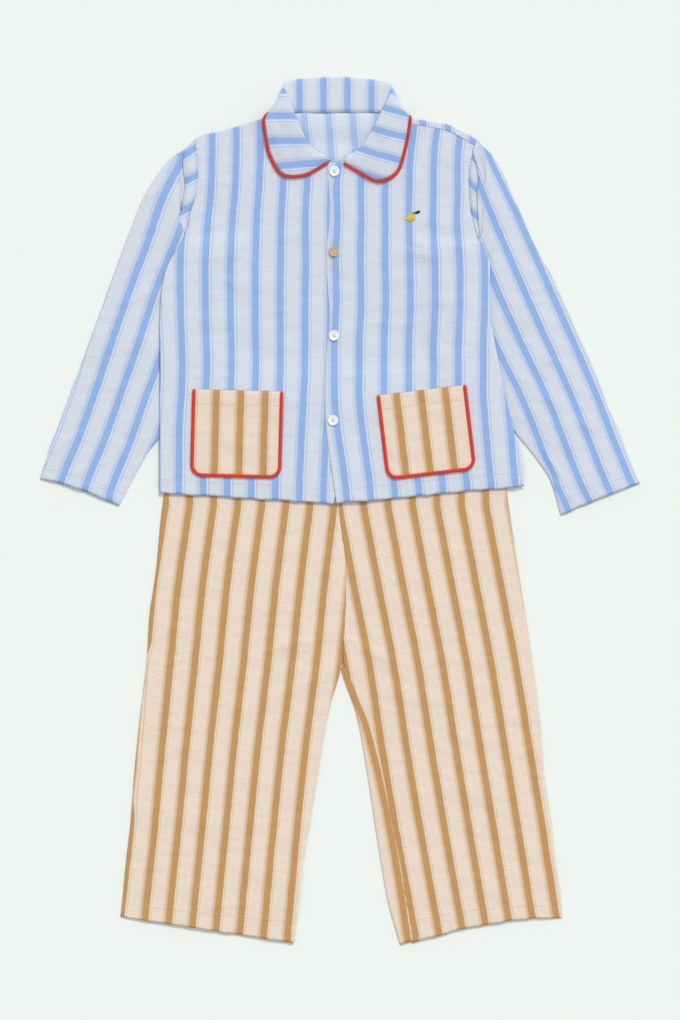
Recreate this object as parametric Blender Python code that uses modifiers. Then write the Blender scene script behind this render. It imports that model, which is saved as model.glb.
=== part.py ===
"""A child's striped pyjama set, laid flat on its back: a piped jacket over wide trousers.

+X is the wearer's left, +Y runs from the trouser hems to the collar, and +Z is up off the surface that
the set lies on. Sizes are in millimetres until MM turns them into Blender's metres. Each cut piece is a
loft through the sections of its table, with a wall of CLOTH, and it lies PLY above the piece below it.
"""

import math
from collections import namedtuple

import bmesh
import bpy
from mathutils import Vector
from mathutils.bvhtree import BVHTree

MM = 0.001

CLOTH = 1.2                  # wall of every cloth piece
GAP = 0.3                    # clearance between pieces that touch
PLY = CLOTH + GAP            # rise from one layer to the next
BOTTOM = CLOTH / 2           # middle of the layer on the ground
SECOND = BOTTOM + PLY        # middle of the layer on that one
OVER_TWO = 2 * PLY           # lift of cloth that crosses two layers
FOLD_REACH = PLY / 2         # how far a folded edge stands out past its two layers
LOFT = 1.3                   # air under the middle of a trouser leg

PIPING_RADIUS = 1.6
PIPING_INSET = PIPING_RADIUS + 1.5 * GAP

NECK_CENTRE = (-3.5, 497)
NECK_HALF_WIDTH = 67.5
NECK_DEPTH = 64
NECK_LIFT = 2 * PIPING_RADIUS + GAP   # the back of the neck lies over the collar's piping
NECK_ANGLES = (62, 46, 31, 15, 0)     # degrees below the shoulder point, for the rows of NECK

SIDE_STEPS = (0, 22, 45, 68, 93)      # columns in from the side seam
BODY_SIDE_COLUMNS = 4                 # how many of them have the side lift, in the body
NECK_SIDE_COLUMNS = 3                 # and above the placket
LAP_STEPS = (47, 22, 0)               # columns in from the placket edge; only the last two lap over
LAP_ROOM = 75                         # least room that LAP_STEPS need

BUTTON_RADIUS = 6.4
BUTTON_THICKNESS = 2.6
BUTTON_RIM = 0.8
BUTTON_HOLES = 4
BUTTON_HOLE_RADIUS = 0.8
BUTTON_HOLE_SPREAD = 1.75

BodyRow = namedtuple(
    "BodyRow", "right_x right_y left_x left_y mid_y lap_x under_x mid_lift side_lift"
)
# Sections of the jacket body from the hem up to the neck: its two side edges (the wearer's right is -X),
# its height at the placket, the edges of the upper and the lower front, and the lift off the ground.
BODY = (
    BodyRow(-225, 19, 230, 30, 7, 4, -9, OVER_TWO, OVER_TWO),
    BodyRow(-225, 32, 229, 41, 21, -6.5, -5.5, OVER_TWO, OVER_TWO),
    BodyRow(-225, 62, 227.5, 65, 60, -12, -1, OVER_TWO, OVER_TWO),
    BodyRow(-225, 103, 216, 103, 103, -17.5, 1, OVER_TWO, OVER_TWO),
    BodyRow(-225, 160, 203, 160, 160, -18.5, 1, OVER_TWO, OVER_TWO),
    BodyRow(-225, 190, 197, 190, 190, -17.5, 2, 0, OVER_TWO),
    BodyRow(-225, 240, 188.5, 240, 240, -14.5, 4, 0, OVER_TWO),
    BodyRow(-222, 280, 187, 280, 280, -13, 5, 0, OVER_TWO),
    BodyRow(-212.5, 312, 186, 312, 311, -14, 5, 0, OVER_TWO),
    BodyRow(-199, 332, 177, 330, 331, -15, 5, 0, OVER_TWO),
    BodyRow(-192.4, 348, 172.4, 340, 347, -13.5, 6, 0, 0),
    BodyRow(-188.7, 367, 165, 365, 372, -12, 7, 0, 0),
    BodyRow(-182.2, 387, 162.3, 387, 400, -12, 7, 0, 0),
    BodyRow(-177.7, 413, 161, 413, 433.5, -12.5, 8, 0, 0),
)
ARMPIT_ROW = 10
ARMPIT_CLEARANCE = 1.5       # more room at the foot of the armhole, for the sleeve's fold
BACK_PLACKET_Y = 425         # height of the back's section below the top of the placket

NeckRow = namedtuple("NeckRow", "right_x right_y left_x left_y back_y front_lift back_lift")
# Sections above the placket, which fan out from the armholes to the neckline and end at the shoulders.
NECK = (
    NeckRow(-177.8, 424, 161.2, 421, 437, 0.4, 0),
    NeckRow(-178.3, 434, 162.3, 429, 450, 1.2, 0),
    NeckRow(-179, 444, 164.5, 438, 462, 2.6, 0),
    NeckRow(-180, 454, 167.5, 447, 480, NECK_LIFT + 0.4, NECK_LIFT),
    NeckRow(-181, 463, 170.5, 456, 497, NECK_LIFT + 0.6, NECK_LIFT),
)

SleeveRing = namedtuple("SleeveRing", "outer_x outer_y inner_x inner_y pleat")
# Rings of each sleeve after the armhole: the outer fold, the fold under the arm, and the rise of the pleat
# that turns the sleeve down beside the body.
SLEEVE_RIGHT = (
    SleeveRing(-194, 455, -197.5, 345, 1.4),
    SleeveRing(-198, 452, -199.5, 341.5, 0),
    SleeveRing(-211, 441, -203.5, 333, 0),
    SleeveRing(-226, 421, -208, 317, 0),
    SleeveRing(-244, 394, -200, 296, 0),
    SleeveRing(-266, 341, -190, 262, 0),
    SleeveRing(-285, 289, -187, 225, 0),
    SleeveRing(-305, 232, -193, 185, 0),
    SleeveRing(-322, 184, -207, 140, 0),
    SleeveRing(-337, 142, -226, 92, 0),
    SleeveRing(-350, 107, -241, 72, 0),
    SleeveRing(-362, 76, -255, 47, 0),
    SleeveRing(-374, 39, -277, 5, 0),
)
SLEEVE_LEFT = (
    SleeveRing(179, 455.5, 177, 338, 1.4),
    SleeveRing(182, 454, 179, 335.5, 0),
    SleeveRing(192, 440, 184, 327, 0),
    SleeveRing(206, 414, 189, 312, 0),
    SleeveRing(220, 382, 172, 290, 0),
    SleeveRing(243, 331, 157, 255, 0),
    SleeveRing(266, 295, 156, 220, 0),
    SleeveRing(285, 251, 168, 180, 0),
    SleeveRing(304, 213, 190, 138, 0),
    SleeveRing(323, 167, 217, 101, 0),
    SleeveRing(335, 128, 232, 83, 0),
    SleeveRing(350, 102, 247, 64, 0),
    SleeveRing(361, 70, 263, 40, 0),
    SleeveRing(374, 33, 277, -6, 0),
)

LegRow = namedtuple("LegRow", "outer_x outer_y inner_x inner_y loft")
# Sections of each trouser leg from the waist to the hem: the side edge, the centre seam or inside leg,
# and how much of the LOFT the front has there.
LEG_RIGHT = (
    LegRow(-163, 61.5, -3, 61.5, 0),
    LegRow(-203, 38, -2.5, 35, 0),
    LegRow(-221, 9, -1.5, 5, 0),
    LegRow(-230, -78, 7, -72, 1),
    LegRow(-238, -136, 6, -136, 1),
    LegRow(-242, -197, 1, -197, 1),
    LegRow(-249, -253, -13.5, -250, 1),
    LegRow(-256, -320, -28, -334, 1),
    LegRow(-261, -385, -37, -390, 1),
    LegRow(-267, -440, -46, -445, 1),
    LegRow(-271, -480, -52, -497, 1),
    LegRow(-274, -508, -57.5, -544, 1),
)
LEG_LEFT = (
    LegRow(158, 61.5, -3, 61.5, 0),
    LegRow(195, 38, -2.5, 35, 0),
    LegRow(210, 9, -1.5, 5, 0),
    LegRow(222, -70, 7, -72, 1),
    LegRow(232.5, -136, 6, -136, 1),
    LegRow(242, -197, 2, -197, 1),
    LegRow(250, -259, 20, -252, 1),
    LegRow(255, -325, 34, -326, 1),
    LegRow(264, -387, 44, -392, 1),
    LegRow(270, -440, 52, -443, 1),
    LegRow(276, -482, 61, -492, 1),
    LegRow(277.5, -512, 75.5, -544, 1),
)
LEG_COLUMNS = 7
CROTCH_ROW = 5
INSEAM_WRAP = (5, 17, 18, 20, 22, 21, 15)    # how far the left back wraps on to the front, crotch to hem

WAISTBAND_TOP = 90
WAISTBAND_FOOT = 61.8
WAISTBAND_RIGHT = -161
WAISTBAND_LEFT = 155
WAISTBAND_COLUMNS = 6

CollarStation = namedtuple("CollarStation", "roll_x roll_y roll_z edge_x edge_y edge_z out_x out_y out_z")
# Stations of the collar from its front end to the middle of the back. Each gives its roll, the seam of its
# piping, and the way from the stand to the fall: up in front, outwards at the corner, down behind. The
# piping lies on whatever is below it where edge_z is None.
COLLAR_RIGHT = (
    CollarStation(-17.5, 442.5, 4.6, -14.5, 436, 5.2, 0, 0, 1),
    CollarStation(-29, 446, 5.0, -45, 420, None, 0, 0, 1),
    CollarStation(-40, 457, 5.8, -70, 420, None, 0, 0, 1),
    CollarStation(-49, 474, 7.2, -85, 441, None, -0.2, 0, 1),
    CollarStation(-57, 493, 8.6, -92, 472, None, -0.5, 0, 0.9),
    CollarStation(-64, 511, 9.2, -92, 494, 8.6, -0.8, 0, 0.6),
    CollarStation(-67, 520, 8.4, -90, 501, 4.0, -1, 0, 0.1),
    CollarStation(-68, 527, 6.6, -86, 500, 0.8, -1, 0.2, -0.4),
    CollarStation(-65, 533, 4.0, -79, 487, BOTTOM, -0.5, 0.2, -0.9),
    CollarStation(-54, 538, 2.2, -62, 487, BOTTOM, 0, 0, -1),
    CollarStation(-33, 541, 1.9, -34, 487, BOTTOM, 0, 0, -1),
    CollarStation(-3.5, 542.3, 1.9, -3.5, 487, BOTTOM, 0, 0, -1),
)
COLLAR_LEFT = (
    CollarStation(8.5, 441.5, 6.0, 5, 434.5, 6.6, 0, 0, 1),
    CollarStation(18.5, 446, 6.4, 23, 424.5, None, 0, 0, 1),
    CollarStation(29, 455, 6.8, 47.5, 412.5, None, 0, 0, 1),
    CollarStation(38, 469, 7.6, 68, 421, None, 0.2, 0, 1),
    CollarStation(47, 485, 8.8, 80.5, 454, None, 0.5, 0, 0.9),
    CollarStation(55, 501, 9.4, 85.5, 484, None, 0.8, 0, 0.6),
    CollarStation(60, 513, 8.8, 85, 496, 8.4, 1, 0, 0.3),
    CollarStation(62, 522, 6.8, 81, 501, 1.6, 1, 0.2, -0.4),
    CollarStation(59, 530, 4.0, 72, 487, BOTTOM, 0.5, 0.2, -0.9),
    CollarStation(47, 536, 2.2, 55, 487, BOTTOM, 0, 0, -1),
    CollarStation(26, 540, 1.9, 27, 487, BOTTOM, 0, 0, -1),
)
COLLAR_ROLL = 1.3            # radius of the collar's fold
COLLAR_ARCH = 1.2            # how far the fall arches between roll and edge
COLLAR_FALL_ROWS = (0.25, 0.5, 0.75, 1)
SHOULDER_STATION = 5         # the station at the shoulder seam
NECK_SEAM_Y = 498.6          # height of the collar's seam behind the neck
NECK_SEAM_START = 0.45       # where the collar starts, from the last row of BODY to the first of NECK
NECK_SEAM_BUNCHING = 1.6     # stations behind the neck stand closer together near the shoulders
NECK_SEAM_RISE = 3           # stations over which the seam climbs from the front on to the back

Pocket = namedtuple("Pocket", "name x y width height tilt")
POCKETS = (
    Pocket("right", -129, 94.5, 113, 109, -1.5),
    Pocket("left", 108, 94.5, 112, 107, 6.8),
)
POCKET_CORNER = 13
POCKET_COLUMNS = 6
POCKET_ROWS = (0, 0.3, 0.6)  # sections from the mouth down, before the corners at the foot
CORNER_STEPS = 4

Button = namedtuple("Button", "x y material")
BUTTONS = (
    Button(-7, 423.5, "white_button"),
    Button(-7.5, 323, "wooden_button"),
    Button(-7.5, 218, "white_button"),
    Button(-8.7, 112, "white_button"),
)

MATERIALS = {
    # name: colour, roughness
    "jacket_cloth": ((0.62, 0.70, 0.87), 0.85),
    "trouser_cloth": ((0.78, 0.64, 0.46), 0.85),
    "red_piping": ((0.72, 0.06, 0.04), 0.6),
    "white_button": ((0.86, 0.86, 0.84), 0.3),
    "wooden_button": ((0.56, 0.42, 0.20), 0.4),
}


def clear_scene():
    for thing in list(bpy.data.objects):
        bpy.data.objects.remove(thing)


def new_collection(name):
    collection = bpy.data.collections.new(name)
    bpy.context.scene.collection.children.link(collection)
    return collection


def new_material(name):
    colour, roughness = MATERIALS[name]
    material = bpy.data.materials.new(name)
    material.use_nodes = True
    shader = material.node_tree.nodes["Principled BSDF"]
    shader.inputs["Base Color"].default_value = (*colour, 1)
    shader.inputs["Roughness"].default_value = roughness
    return material


def between(start, end, fraction):
    return start + (end - start) * fraction


def smooth_path(points, steps):
    """Points on a Catmull-Rom curve through the given ones, with this many steps between each two."""
    path = []
    last = len(points) - 1
    for index in range(last):
        before = points[max(index - 1, 0)]
        start = points[index]
        end = points[index + 1]
        after = points[min(index + 2, last)]
        for step in range(steps):
            t = step / steps
            path.append(
                0.5 * (
                    2 * start
                    + (end - before) * t
                    + (2 * before - 5 * start + 4 * end - after) * t ** 2
                    + (3 * start - before - 3 * end + after) * t ** 3
                )
            )
    path.append(points[last])
    return path


def loft_mesh(name, sections, closed=False, mirrored_from=None):
    """Quads through sections of as many points each; closed sections are rings.

    A quad is cut from its first corner to its third. From the column mirrored_from on, the quads start at
    the next corner, so that both halves of a panel are cut alike.
    """
    count = len(sections[0])
    spans = count if closed else count - 1
    points = [point * MM for section in sections for point in section]
    faces = []
    for row in range(len(sections) - 1):
        for column in range(spans):
            here = row * count + column
            right = row * count + (column + 1) % count
            quad = (here, right, right + count, here + count)
            if mirrored_from is not None and column >= mirrored_from:
                quad = quad[1:] + quad[:1]
            faces.append(quad)
    mesh = bpy.data.meshes.new(name)
    mesh.from_pydata(points, [], faces)
    return mesh


def cloth(name, mesh, material):
    """A wall of cloth on both sides of a surface."""
    thing = bpy.data.objects.new(name, mesh)
    garment.objects.link(thing)
    thing.data.materials.append(materials[material])
    for polygon in thing.data.polygons:
        polygon.use_smooth = True
    wall = thing.modifiers.new("wall", "SOLIDIFY")
    wall.thickness = CLOTH * MM
    wall.offset = 0
    return thing


def surface_tree(things):
    """One search tree over the middle surfaces of several cloth pieces, in millimetres."""
    points = []
    faces = []
    for thing in things:
        start = len(points)
        points += [vertex.co / MM for vertex in thing.data.vertices]
        faces += [[start + index for index in polygon.vertices] for polygon in thing.data.polygons]
    return BVHTree.FromPolygons(points, faces)


def height_on(tree, x, y):
    """Height of the uppermost middle surface at this place, or None off the cloth."""
    spot, _, _, _ = tree.ray_cast(Vector((x, y, 1000)), Vector((0, 0, -1)))
    return spot.z if spot else None


def piping(name, path):
    """A round red cord along a path."""
    curve = bpy.data.curves.new(name, "CURVE")
    curve.dimensions = "3D"
    curve.bevel_depth = PIPING_RADIUS * MM
    curve.bevel_resolution = 2
    curve.use_fill_caps = True
    spline = curve.splines.new("POLY")
    spline.points.add(len(path) - 1)
    for target, point in zip(spline.points, path):
        target.co = (*(point * MM), 1)
    spline.use_smooth = True
    thing = bpy.data.objects.new(name, curve)
    garment.objects.link(thing)
    curve.materials.append(materials["red_piping"])
    return thing


# Jacket body


def neck_point(side, angle):
    """Where the neckline is this many degrees below the shoulder point, on side -1 (right) or 1 (left)."""
    turn = math.radians(angle)
    return Vector((
        NECK_CENTRE[0] + side * NECK_HALF_WIDTH * math.cos(turn),
        NECK_CENTRE[1] - NECK_DEPTH * math.sin(turn),
        0,
    ))


def side_point(row, side):
    if side < 0:
        return Vector((row.right_x, row.right_y, 0))
    return Vector((row.left_x, row.left_y, 0))


def side_points(start, end, side_lift, mid_lift, side_columns):
    """The columns of SIDE_STEPS from a side edge towards the middle, lifted off the ground."""
    way = (end - start).normalized()
    points = []
    for step, distance in enumerate(SIDE_STEPS):
        point = start + way * distance
        point.z = side_lift if step < side_columns else mid_lift
        points.append(point)
    return points


def front_section(start, end, side_lift, mid_lift, lap_lift, side_columns):
    """One section of a front, from its side edge to its placket or neck edge."""
    start.z = end.z = 0
    points = side_points(start, end, side_lift, mid_lift, side_columns)
    room = (end - start).length
    squeeze = min(1, (room - SIDE_STEPS[-1]) / LAP_ROOM)
    way = (end - start).normalized()
    for distance in LAP_STEPS:
        point = start + way * (room - distance * squeeze)
        point.z = mid_lift + (0 if distance == LAP_STEPS[0] else lap_lift)
        points.append(point)
    return [point + Vector((0, 0, SECOND)) for point in points]


def front_sections(side):
    """Sections of one front; the wearer's left one (side 1) laps over the other."""
    laps_over = side > 0
    sections = []
    for row in BODY:
        end = Vector((row.lap_x if laps_over else row.under_x, row.mid_y, 0))
        lap_lift = PLY if laps_over else 0
        start = side_point(row, side)
        sections.append(
            front_section(start, end, row.side_lift, row.mid_lift, lap_lift, BODY_SIDE_COLUMNS)
        )
    for row, angle in zip(NECK, NECK_ANGLES):
        lap_lift = PLY if laps_over and angle == NECK_ANGLES[0] else 0
        start = side_point(row, side)
        end = neck_point(side, angle)
        sections.append(front_section(start, end, 0, row.front_lift, lap_lift, NECK_SIDE_COLUMNS))
    return sections


def back_sections():
    """Sections of the back, from the wearer's right side seam to the left one."""
    rows = [(row, row.mid_y, row.side_lift, row.mid_lift, BODY_SIDE_COLUMNS) for row in BODY[:-1]]
    rows.append((BODY[-1], BACK_PLACKET_Y, 0, 0, BODY_SIDE_COLUMNS))
    rows += [(row, row.back_y, 0, row.back_lift, NECK_SIDE_COLUMNS) for row in NECK]
    sections = []
    for row, mid_y, side_lift, mid_lift, side_columns in rows:
        corners = [Vector((neck_point(side, 0).x, mid_y, 0)) for side in (-1, 1)]
        aims = corners if row in NECK else [Vector((NECK_CENTRE[0], mid_y, 0))] * 2
        right = side_points(side_point(row, -1), aims[0], side_lift, mid_lift, side_columns)
        left = side_points(side_point(row, 1), aims[1], side_lift, mid_lift, side_columns)
        for corner in corners:
            corner.z = mid_lift
        middle = [between(corners[0], corners[1], fraction) for fraction in (0, 0.25, 0.5, 0.75, 1)]
        section = right + middle + left[::-1]
        sections.append([point + Vector((0, 0, BOTTOM)) for point in section])
    return sections


# Sleeves


def fold_point(inner, upper, lower):
    """Where a fold stands, out past the ends of its two layers."""
    outwards = upper - inner
    outwards.z = 0
    return between(upper, lower, 0.5) + outwards.normalized() * FOLD_REACH


def tube_ring(front, back):
    """A flattened ring: along the front layer, round a fold, back along the other layer, round a fold."""
    far_fold = fold_point(front[-2], front[-1], back[-1])
    near_fold = fold_point(front[1], front[0], back[0])
    return front + [far_fold] + back[::-1] + [near_fold]


def sleeve_rings(side, rings):
    """Rings of a sleeve from the armhole, GAP outside the body's edge, down to the cuff."""
    armhole = [side_point(row, side) for row in BODY[ARMPIT_ROW:] + NECK]
    armhole = [point + Vector((side * GAP, 0, 0)) for point in armhole[::-1]]
    armhole[-1].x += side * ARMPIT_CLEARANCE
    length = armhole[0].y - armhole[-1].y
    fractions = [(armhole[0].y - point.y) / length for point in armhole]
    flats = [(armhole, 0)]
    for ring in rings:
        outer = Vector((ring.outer_x, ring.outer_y, 0))
        inner = Vector((ring.inner_x, ring.inner_y, 0))
        flats.append(([between(outer, inner, fraction) for fraction in fractions], ring.pleat))
    sections = []
    for flat, pleat in flats:
        front = [point + Vector((0, 0, SECOND + pleat)) for point in flat]
        back = [point + Vector((0, 0, BOTTOM)) for point in flat]
        front[0].z = SECOND
        front[-1].z = SECOND
        sections.append(tube_ring(front, back))
    return sections


# Collar


def collar_half(side, stations):
    """Stations of one side as (neck, roll, edge, out) points, from the front end backwards."""
    half = []
    for neck, station in zip(neck_seam(side, len(stations)), stations):
        roll = Vector((station.roll_x, station.roll_y, station.roll_z))
        edge_z = station.edge_z
        if edge_z is None:
            edge_z = height_on(fronts_tree, station.edge_x, station.edge_y) + PLY
        edge = Vector((station.edge_x, station.edge_y, edge_z))
        out = Vector((station.out_x, station.out_y, station.out_z)).normalized()
        half.append((neck, roll, edge, out))
    return half


def neck_seam(side, count):
    """The collar's seam points for this many stations, GAP inside the front's neckline and the back's."""
    ends = [section[-1] for section in front_sections(side)[len(BODY) - 1:]]
    ends[0] = between(ends[0], ends[1], NECK_SEAM_START)
    centre = Vector((*NECK_CENTRE, 0))
    points = []
    for end in ends:
        inwards = centre - end
        inwards.z = 0
        points.append(end + inwards.normalized() * GAP)
    shoulder = points[SHOULDER_STATION]
    shoulder.y = NECK_SEAM_Y - GAP
    back_z = BOTTOM + NECK_LIFT
    reach = len(COLLAR_RIGHT) - 1 - SHOULDER_STATION
    for step in range(1, count - SHOULDER_STATION):
        x = between(shoulder.x, NECK_CENTRE[0], (step / reach) ** NECK_SEAM_BUNCHING)
        z = between(shoulder.z, back_z, min(1, step / NECK_SEAM_RISE))
        points.append(Vector((x, NECK_SEAM_Y, z)))
    return points


def collar_section(neck, roll, edge, out):
    """From the neck seam up the stand, round the roll and down the fall to the piping's seam."""
    stand_top = roll - out * COLLAR_ROLL
    fall_top = roll + out * COLLAR_ROLL
    fall_top.z = max(fall_top.z, BOTTOM)
    away = roll - edge
    away.z = 0
    crest = roll + away.normalized() * COLLAR_ROLL
    section = [neck, between(neck, stand_top, 0.5), stand_top, crest, fall_top]
    arch = Vector((out.x, out.y, max(out.z, 0))) * COLLAR_ARCH
    for fraction in COLLAR_FALL_ROWS:
        point = between(fall_top, edge, fraction) + arch * 4 * fraction * (1 - fraction)
        point.z = max(point.z, BOTTOM)
        below = height_on(fronts_tree, point.x, point.y)
        if below is not None and out.z > 0:
            point.z = max(point.z, below + PLY + GAP)
        section.append(point)
    return section


def collar_stations():
    """Twice as many stations as the tables have, from the right front end round to the left one."""
    stations = collar_half(-1, COLLAR_RIGHT) + collar_half(1, COLLAR_LEFT)[::-1]
    necks, rolls, edges, outs = zip(*stations)
    fine_necks = []
    for start, end in zip(necks, necks[1:]):
        fine_necks += [start, between(start, end, 0.5)]
    fine_necks.append(necks[-1])
    outs = [out.normalized() for out in smooth_path(outs, 2)]
    return list(zip(fine_necks, smooth_path(rolls, 2), smooth_path(edges, 2), outs))


def collar_piping_path(sections):
    """The piping's middle line, outside the fall's edge and on what lies below."""
    path = []
    last = len(sections) - 1
    for index, section in enumerate(sections):
        edge = section[-1]
        run = (sections[min(index + 1, last)][-1] - sections[max(index - 1, 0)][-1]).normalized()
        outwards = edge - section[-2]
        outwards -= run * outwards.dot(run)
        point = edge + outwards.normalized() * PIPING_INSET
        below = height_on(fronts_tree, point.x, point.y)
        if edge.z > SECOND and below is not None:
            point.z = below + CLOTH / 2 + 2 * GAP + PIPING_RADIUS
        point.z = max(point.z, PIPING_RADIUS)
        path.append(point)
    return path


# Pockets


def pocket_frame(pocket):
    """The pocket's own directions on the ground plan."""
    turn = math.radians(pocket.tilt)
    across = Vector((math.cos(turn), math.sin(turn), 0))
    up = Vector((-math.sin(turn), math.cos(turn), 0))
    return Vector((pocket.x, pocket.y, 0)), across, up


def pocket_outline(pocket, inset):
    """Half widths and heights from the mouth to the foot, with the foot's corners rounded."""
    half = pocket.width / 2 - inset
    top = pocket.height / 2
    foot = -pocket.height / 2 + inset
    corner = POCKET_CORNER - inset
    rows = [(half, between(top, foot, fraction)) for fraction in POCKET_ROWS]
    for step in range(CORNER_STEPS + 1):
        turn = math.radians(90 * step / CORNER_STEPS)
        rows.append((half - corner * (1 - math.cos(turn)), foot + corner * (1 - math.sin(turn))))
    return rows


def add_pocket(pocket):
    centre, across, up = pocket_frame(pocket)
    top_of_front = height_on(fronts_tree, pocket.x, pocket.y) + CLOTH / 2
    sections = []
    for half, height in pocket_outline(pocket, 2 * PIPING_RADIUS + GAP):
        section = []
        for column in range(POCKET_COLUMNS + 1):
            shift = half * (2 * column / POCKET_COLUMNS - 1)
            point = centre + across * shift + up * height
            point.z = top_of_front + GAP + CLOTH / 2
            section.append(point)
        sections.append(section)
    name = f"pocket_{pocket.name}"
    cloth(name, loft_mesh(name, sections), "trouser_cloth")
    path = []
    outline = pocket_outline(pocket, PIPING_RADIUS)
    for side, rows in ((-1, outline), (1, outline[::-1])):
        for half, height in rows:
            point = centre + across * side * half + up * height
            point.z = top_of_front + GAP + PIPING_RADIUS
            path.append(point)
    piping(f"pocket_piping_{pocket.name}", path)


# Buttons


def add_button(index, button):
    """A disc with a rounded rim and four holes, on the upper front."""
    name = f"button_{index}"
    seat = height_on(fronts_tree, button.x, button.y) + CLOTH / 2 + GAP
    centre = Vector((button.x, button.y, seat + BUTTON_THICKNESS / 2))
    bpy.ops.mesh.primitive_cylinder_add(
        vertices=24, radius=BUTTON_RADIUS * MM, depth=BUTTON_THICKNESS * MM, location=centre * MM
    )
    disc = bpy.context.object
    disc.name = name
    move_to(disc, garment)
    disc.data.materials.append(materials[button.material])
    rim = disc.modifiers.new("rim", "BEVEL")
    rim.width = BUTTON_RIM * MM
    rim.segments = 2
    rim.limit_method = "ANGLE"
    for hole in range(BUTTON_HOLES):
        turn = math.tau * (hole + 0.5) / BUTTON_HOLES
        offset = Vector((math.cos(turn), math.sin(turn), 0)) * BUTTON_HOLE_SPREAD
        bpy.ops.mesh.primitive_cylinder_add(
            vertices=10, radius=BUTTON_HOLE_RADIUS * MM, depth=3 * BUTTON_THICKNESS * MM,
            location=(centre + offset) * MM,
        )
        cutter = bpy.context.object
        cutter.name = f"{name}_hole_{hole + 1}"
        move_to(cutter, guides)
        cutter.hide_render = True
        cutter.display_type = "WIRE"
        cut = disc.modifiers.new(f"hole {hole + 1}", "BOOLEAN")
        cut.object = cutter


def move_to(thing, collection):
    for holder in list(thing.users_collection):
        holder.objects.unlink(thing)
    collection.objects.link(thing)


# Trousers


def leg_section(row, height, start=0.0, end=1.0, loft=0.0):
    """A straight section of a leg panel from its side edge to its centre seam or inside edge."""
    outer = Vector((row.outer_x, row.outer_y, height))
    inner = Vector((row.inner_x, row.inner_y, height))
    points = []
    for column in range(LEG_COLUMNS + 1):
        fraction = between(start, end, column / LEG_COLUMNS)
        point = between(outer, inner, fraction)
        point.z += loft * math.sin(math.pi * column / LEG_COLUMNS)
        points.append(point)
    return points


def add_right_leg():
    """The wearer's right leg: a front laid on a back of the same shape."""
    clear = GAP / 2
    front = []
    back = []
    for row in LEG_RIGHT:
        row = row._replace(inner_x=row.inner_x - clear)
        front.append(leg_section(row, SECOND, loft=LOFT * row.loft))
        back.append(leg_section(row, BOTTOM))
    for name, sections in (("trousers_front_right", front), ("trousers_back_right", back)):
        cloth(name, loft_mesh(name, sections), "trouser_cloth")


def add_left_leg():
    """The wearer's left leg: below the crotch its back wraps round the inside edge on to the front."""
    front = []
    back = []
    strips = []
    for index, row in enumerate(LEG_LEFT):
        row = row._replace(inner_x=row.inner_x + GAP / 2)
        back.append(leg_section(row, BOTTOM))
        seam = 1
        if index >= CROTCH_ROW:
            wrap = INSEAM_WRAP[index - CROTCH_ROW]
            seam = 1 - (wrap + GAP) / (row.outer_x - row.inner_x)
            strips.append(wrap_points(back[-1], wrap))
        front.append(leg_section(row, SECOND, end=seam, loft=LOFT * row.loft))
    cloth("trousers_front_left", loft_mesh("trousers_front_left", front), "trouser_cloth")
    mesh = loft_mesh("trousers_back_left", back)
    add_wrap(mesh, strips)
    cloth("trousers_back_left", mesh, "trouser_cloth")


def wrap_points(section, wrap):
    """Points that carry a back section round its inside edge and over the front by the wrap's width."""
    inside = section[-1].copy()
    across = (section[0] - inside).normalized()
    section[-1] = inside + across * FOLD_REACH
    return (
        inside + Vector((0, 0, PLY / 2)),
        inside + across * FOLD_REACH + Vector((0, 0, PLY)),
        inside + across * wrap + Vector((0, 0, PLY)),
    )


def add_wrap(mesh, strips):
    """Adds the folded-over strip to a leg's back, from the crotch to the hem."""
    count = LEG_COLUMNS + 1
    shape = bmesh.new()
    shape.from_mesh(mesh)
    shape.verts.ensure_lookup_table()
    edge = list(shape.verts)[CROTCH_ROW * count + LEG_COLUMNS::count]
    rims = []
    for corner, strip in zip(edge, strips):
        rims.append([corner] + [shape.verts.new(point * MM) for point in strip])
    for upper, lower in zip(rims, rims[1:]):
        for column in range(len(upper) - 1):
            shape.faces.new((upper[column], upper[column + 1], lower[column + 1], lower[column]))
    shape.to_mesh(mesh)
    shape.free()


def add_waistband():
    """The elasticated casing at the waist: one flattened ring."""
    sections = []
    for y in (WAISTBAND_FOOT, between(WAISTBAND_FOOT, WAISTBAND_TOP, 0.5), WAISTBAND_TOP):
        steps = [column / WAISTBAND_COLUMNS for column in range(WAISTBAND_COLUMNS + 1)]
        xs = [between(WAISTBAND_RIGHT, WAISTBAND_LEFT, step) for step in steps]
        front = [Vector((x, y, SECOND)) for x in xs]
        back = [Vector((x, y, BOTTOM)) for x in xs]
        sections.append(tube_ring(front, back))
    cloth("waistband", loft_mesh("waistband", sections, closed=True), "trouser_cloth")


def add_back():
    sections = back_sections()
    middle = len(sections[0]) // 2
    cloth("jacket_back", loft_mesh("jacket_back", sections, mirrored_from=middle), "jacket_cloth")


def add_front(name, side):
    return cloth(name, loft_mesh(name, front_sections(side)), "jacket_cloth")


def add_sleeve(name, side, rings):
    cloth(name, loft_mesh(name, sleeve_rings(side, rings), closed=True), "jacket_cloth")


def add_collar():
    sections = [collar_section(*station) for station in collar_stations()]
    cloth("collar", loft_mesh("collar", sections), "jacket_cloth")
    piping("collar_piping", collar_piping_path(sections))


clear_scene()
garment = new_collection("pyjama_set")
guides = new_collection("guides")
materials = {slot: new_material(slot) for slot in MATERIALS}

add_right_leg()
add_left_leg()
add_waistband()

add_back()
fronts_tree = surface_tree([add_front("jacket_front_right", -1), add_front("jacket_front_left", 1)])
add_sleeve("sleeve_right", -1, SLEEVE_RIGHT)
add_sleeve("sleeve_left", 1, SLEEVE_LEFT)
add_collar()

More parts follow.
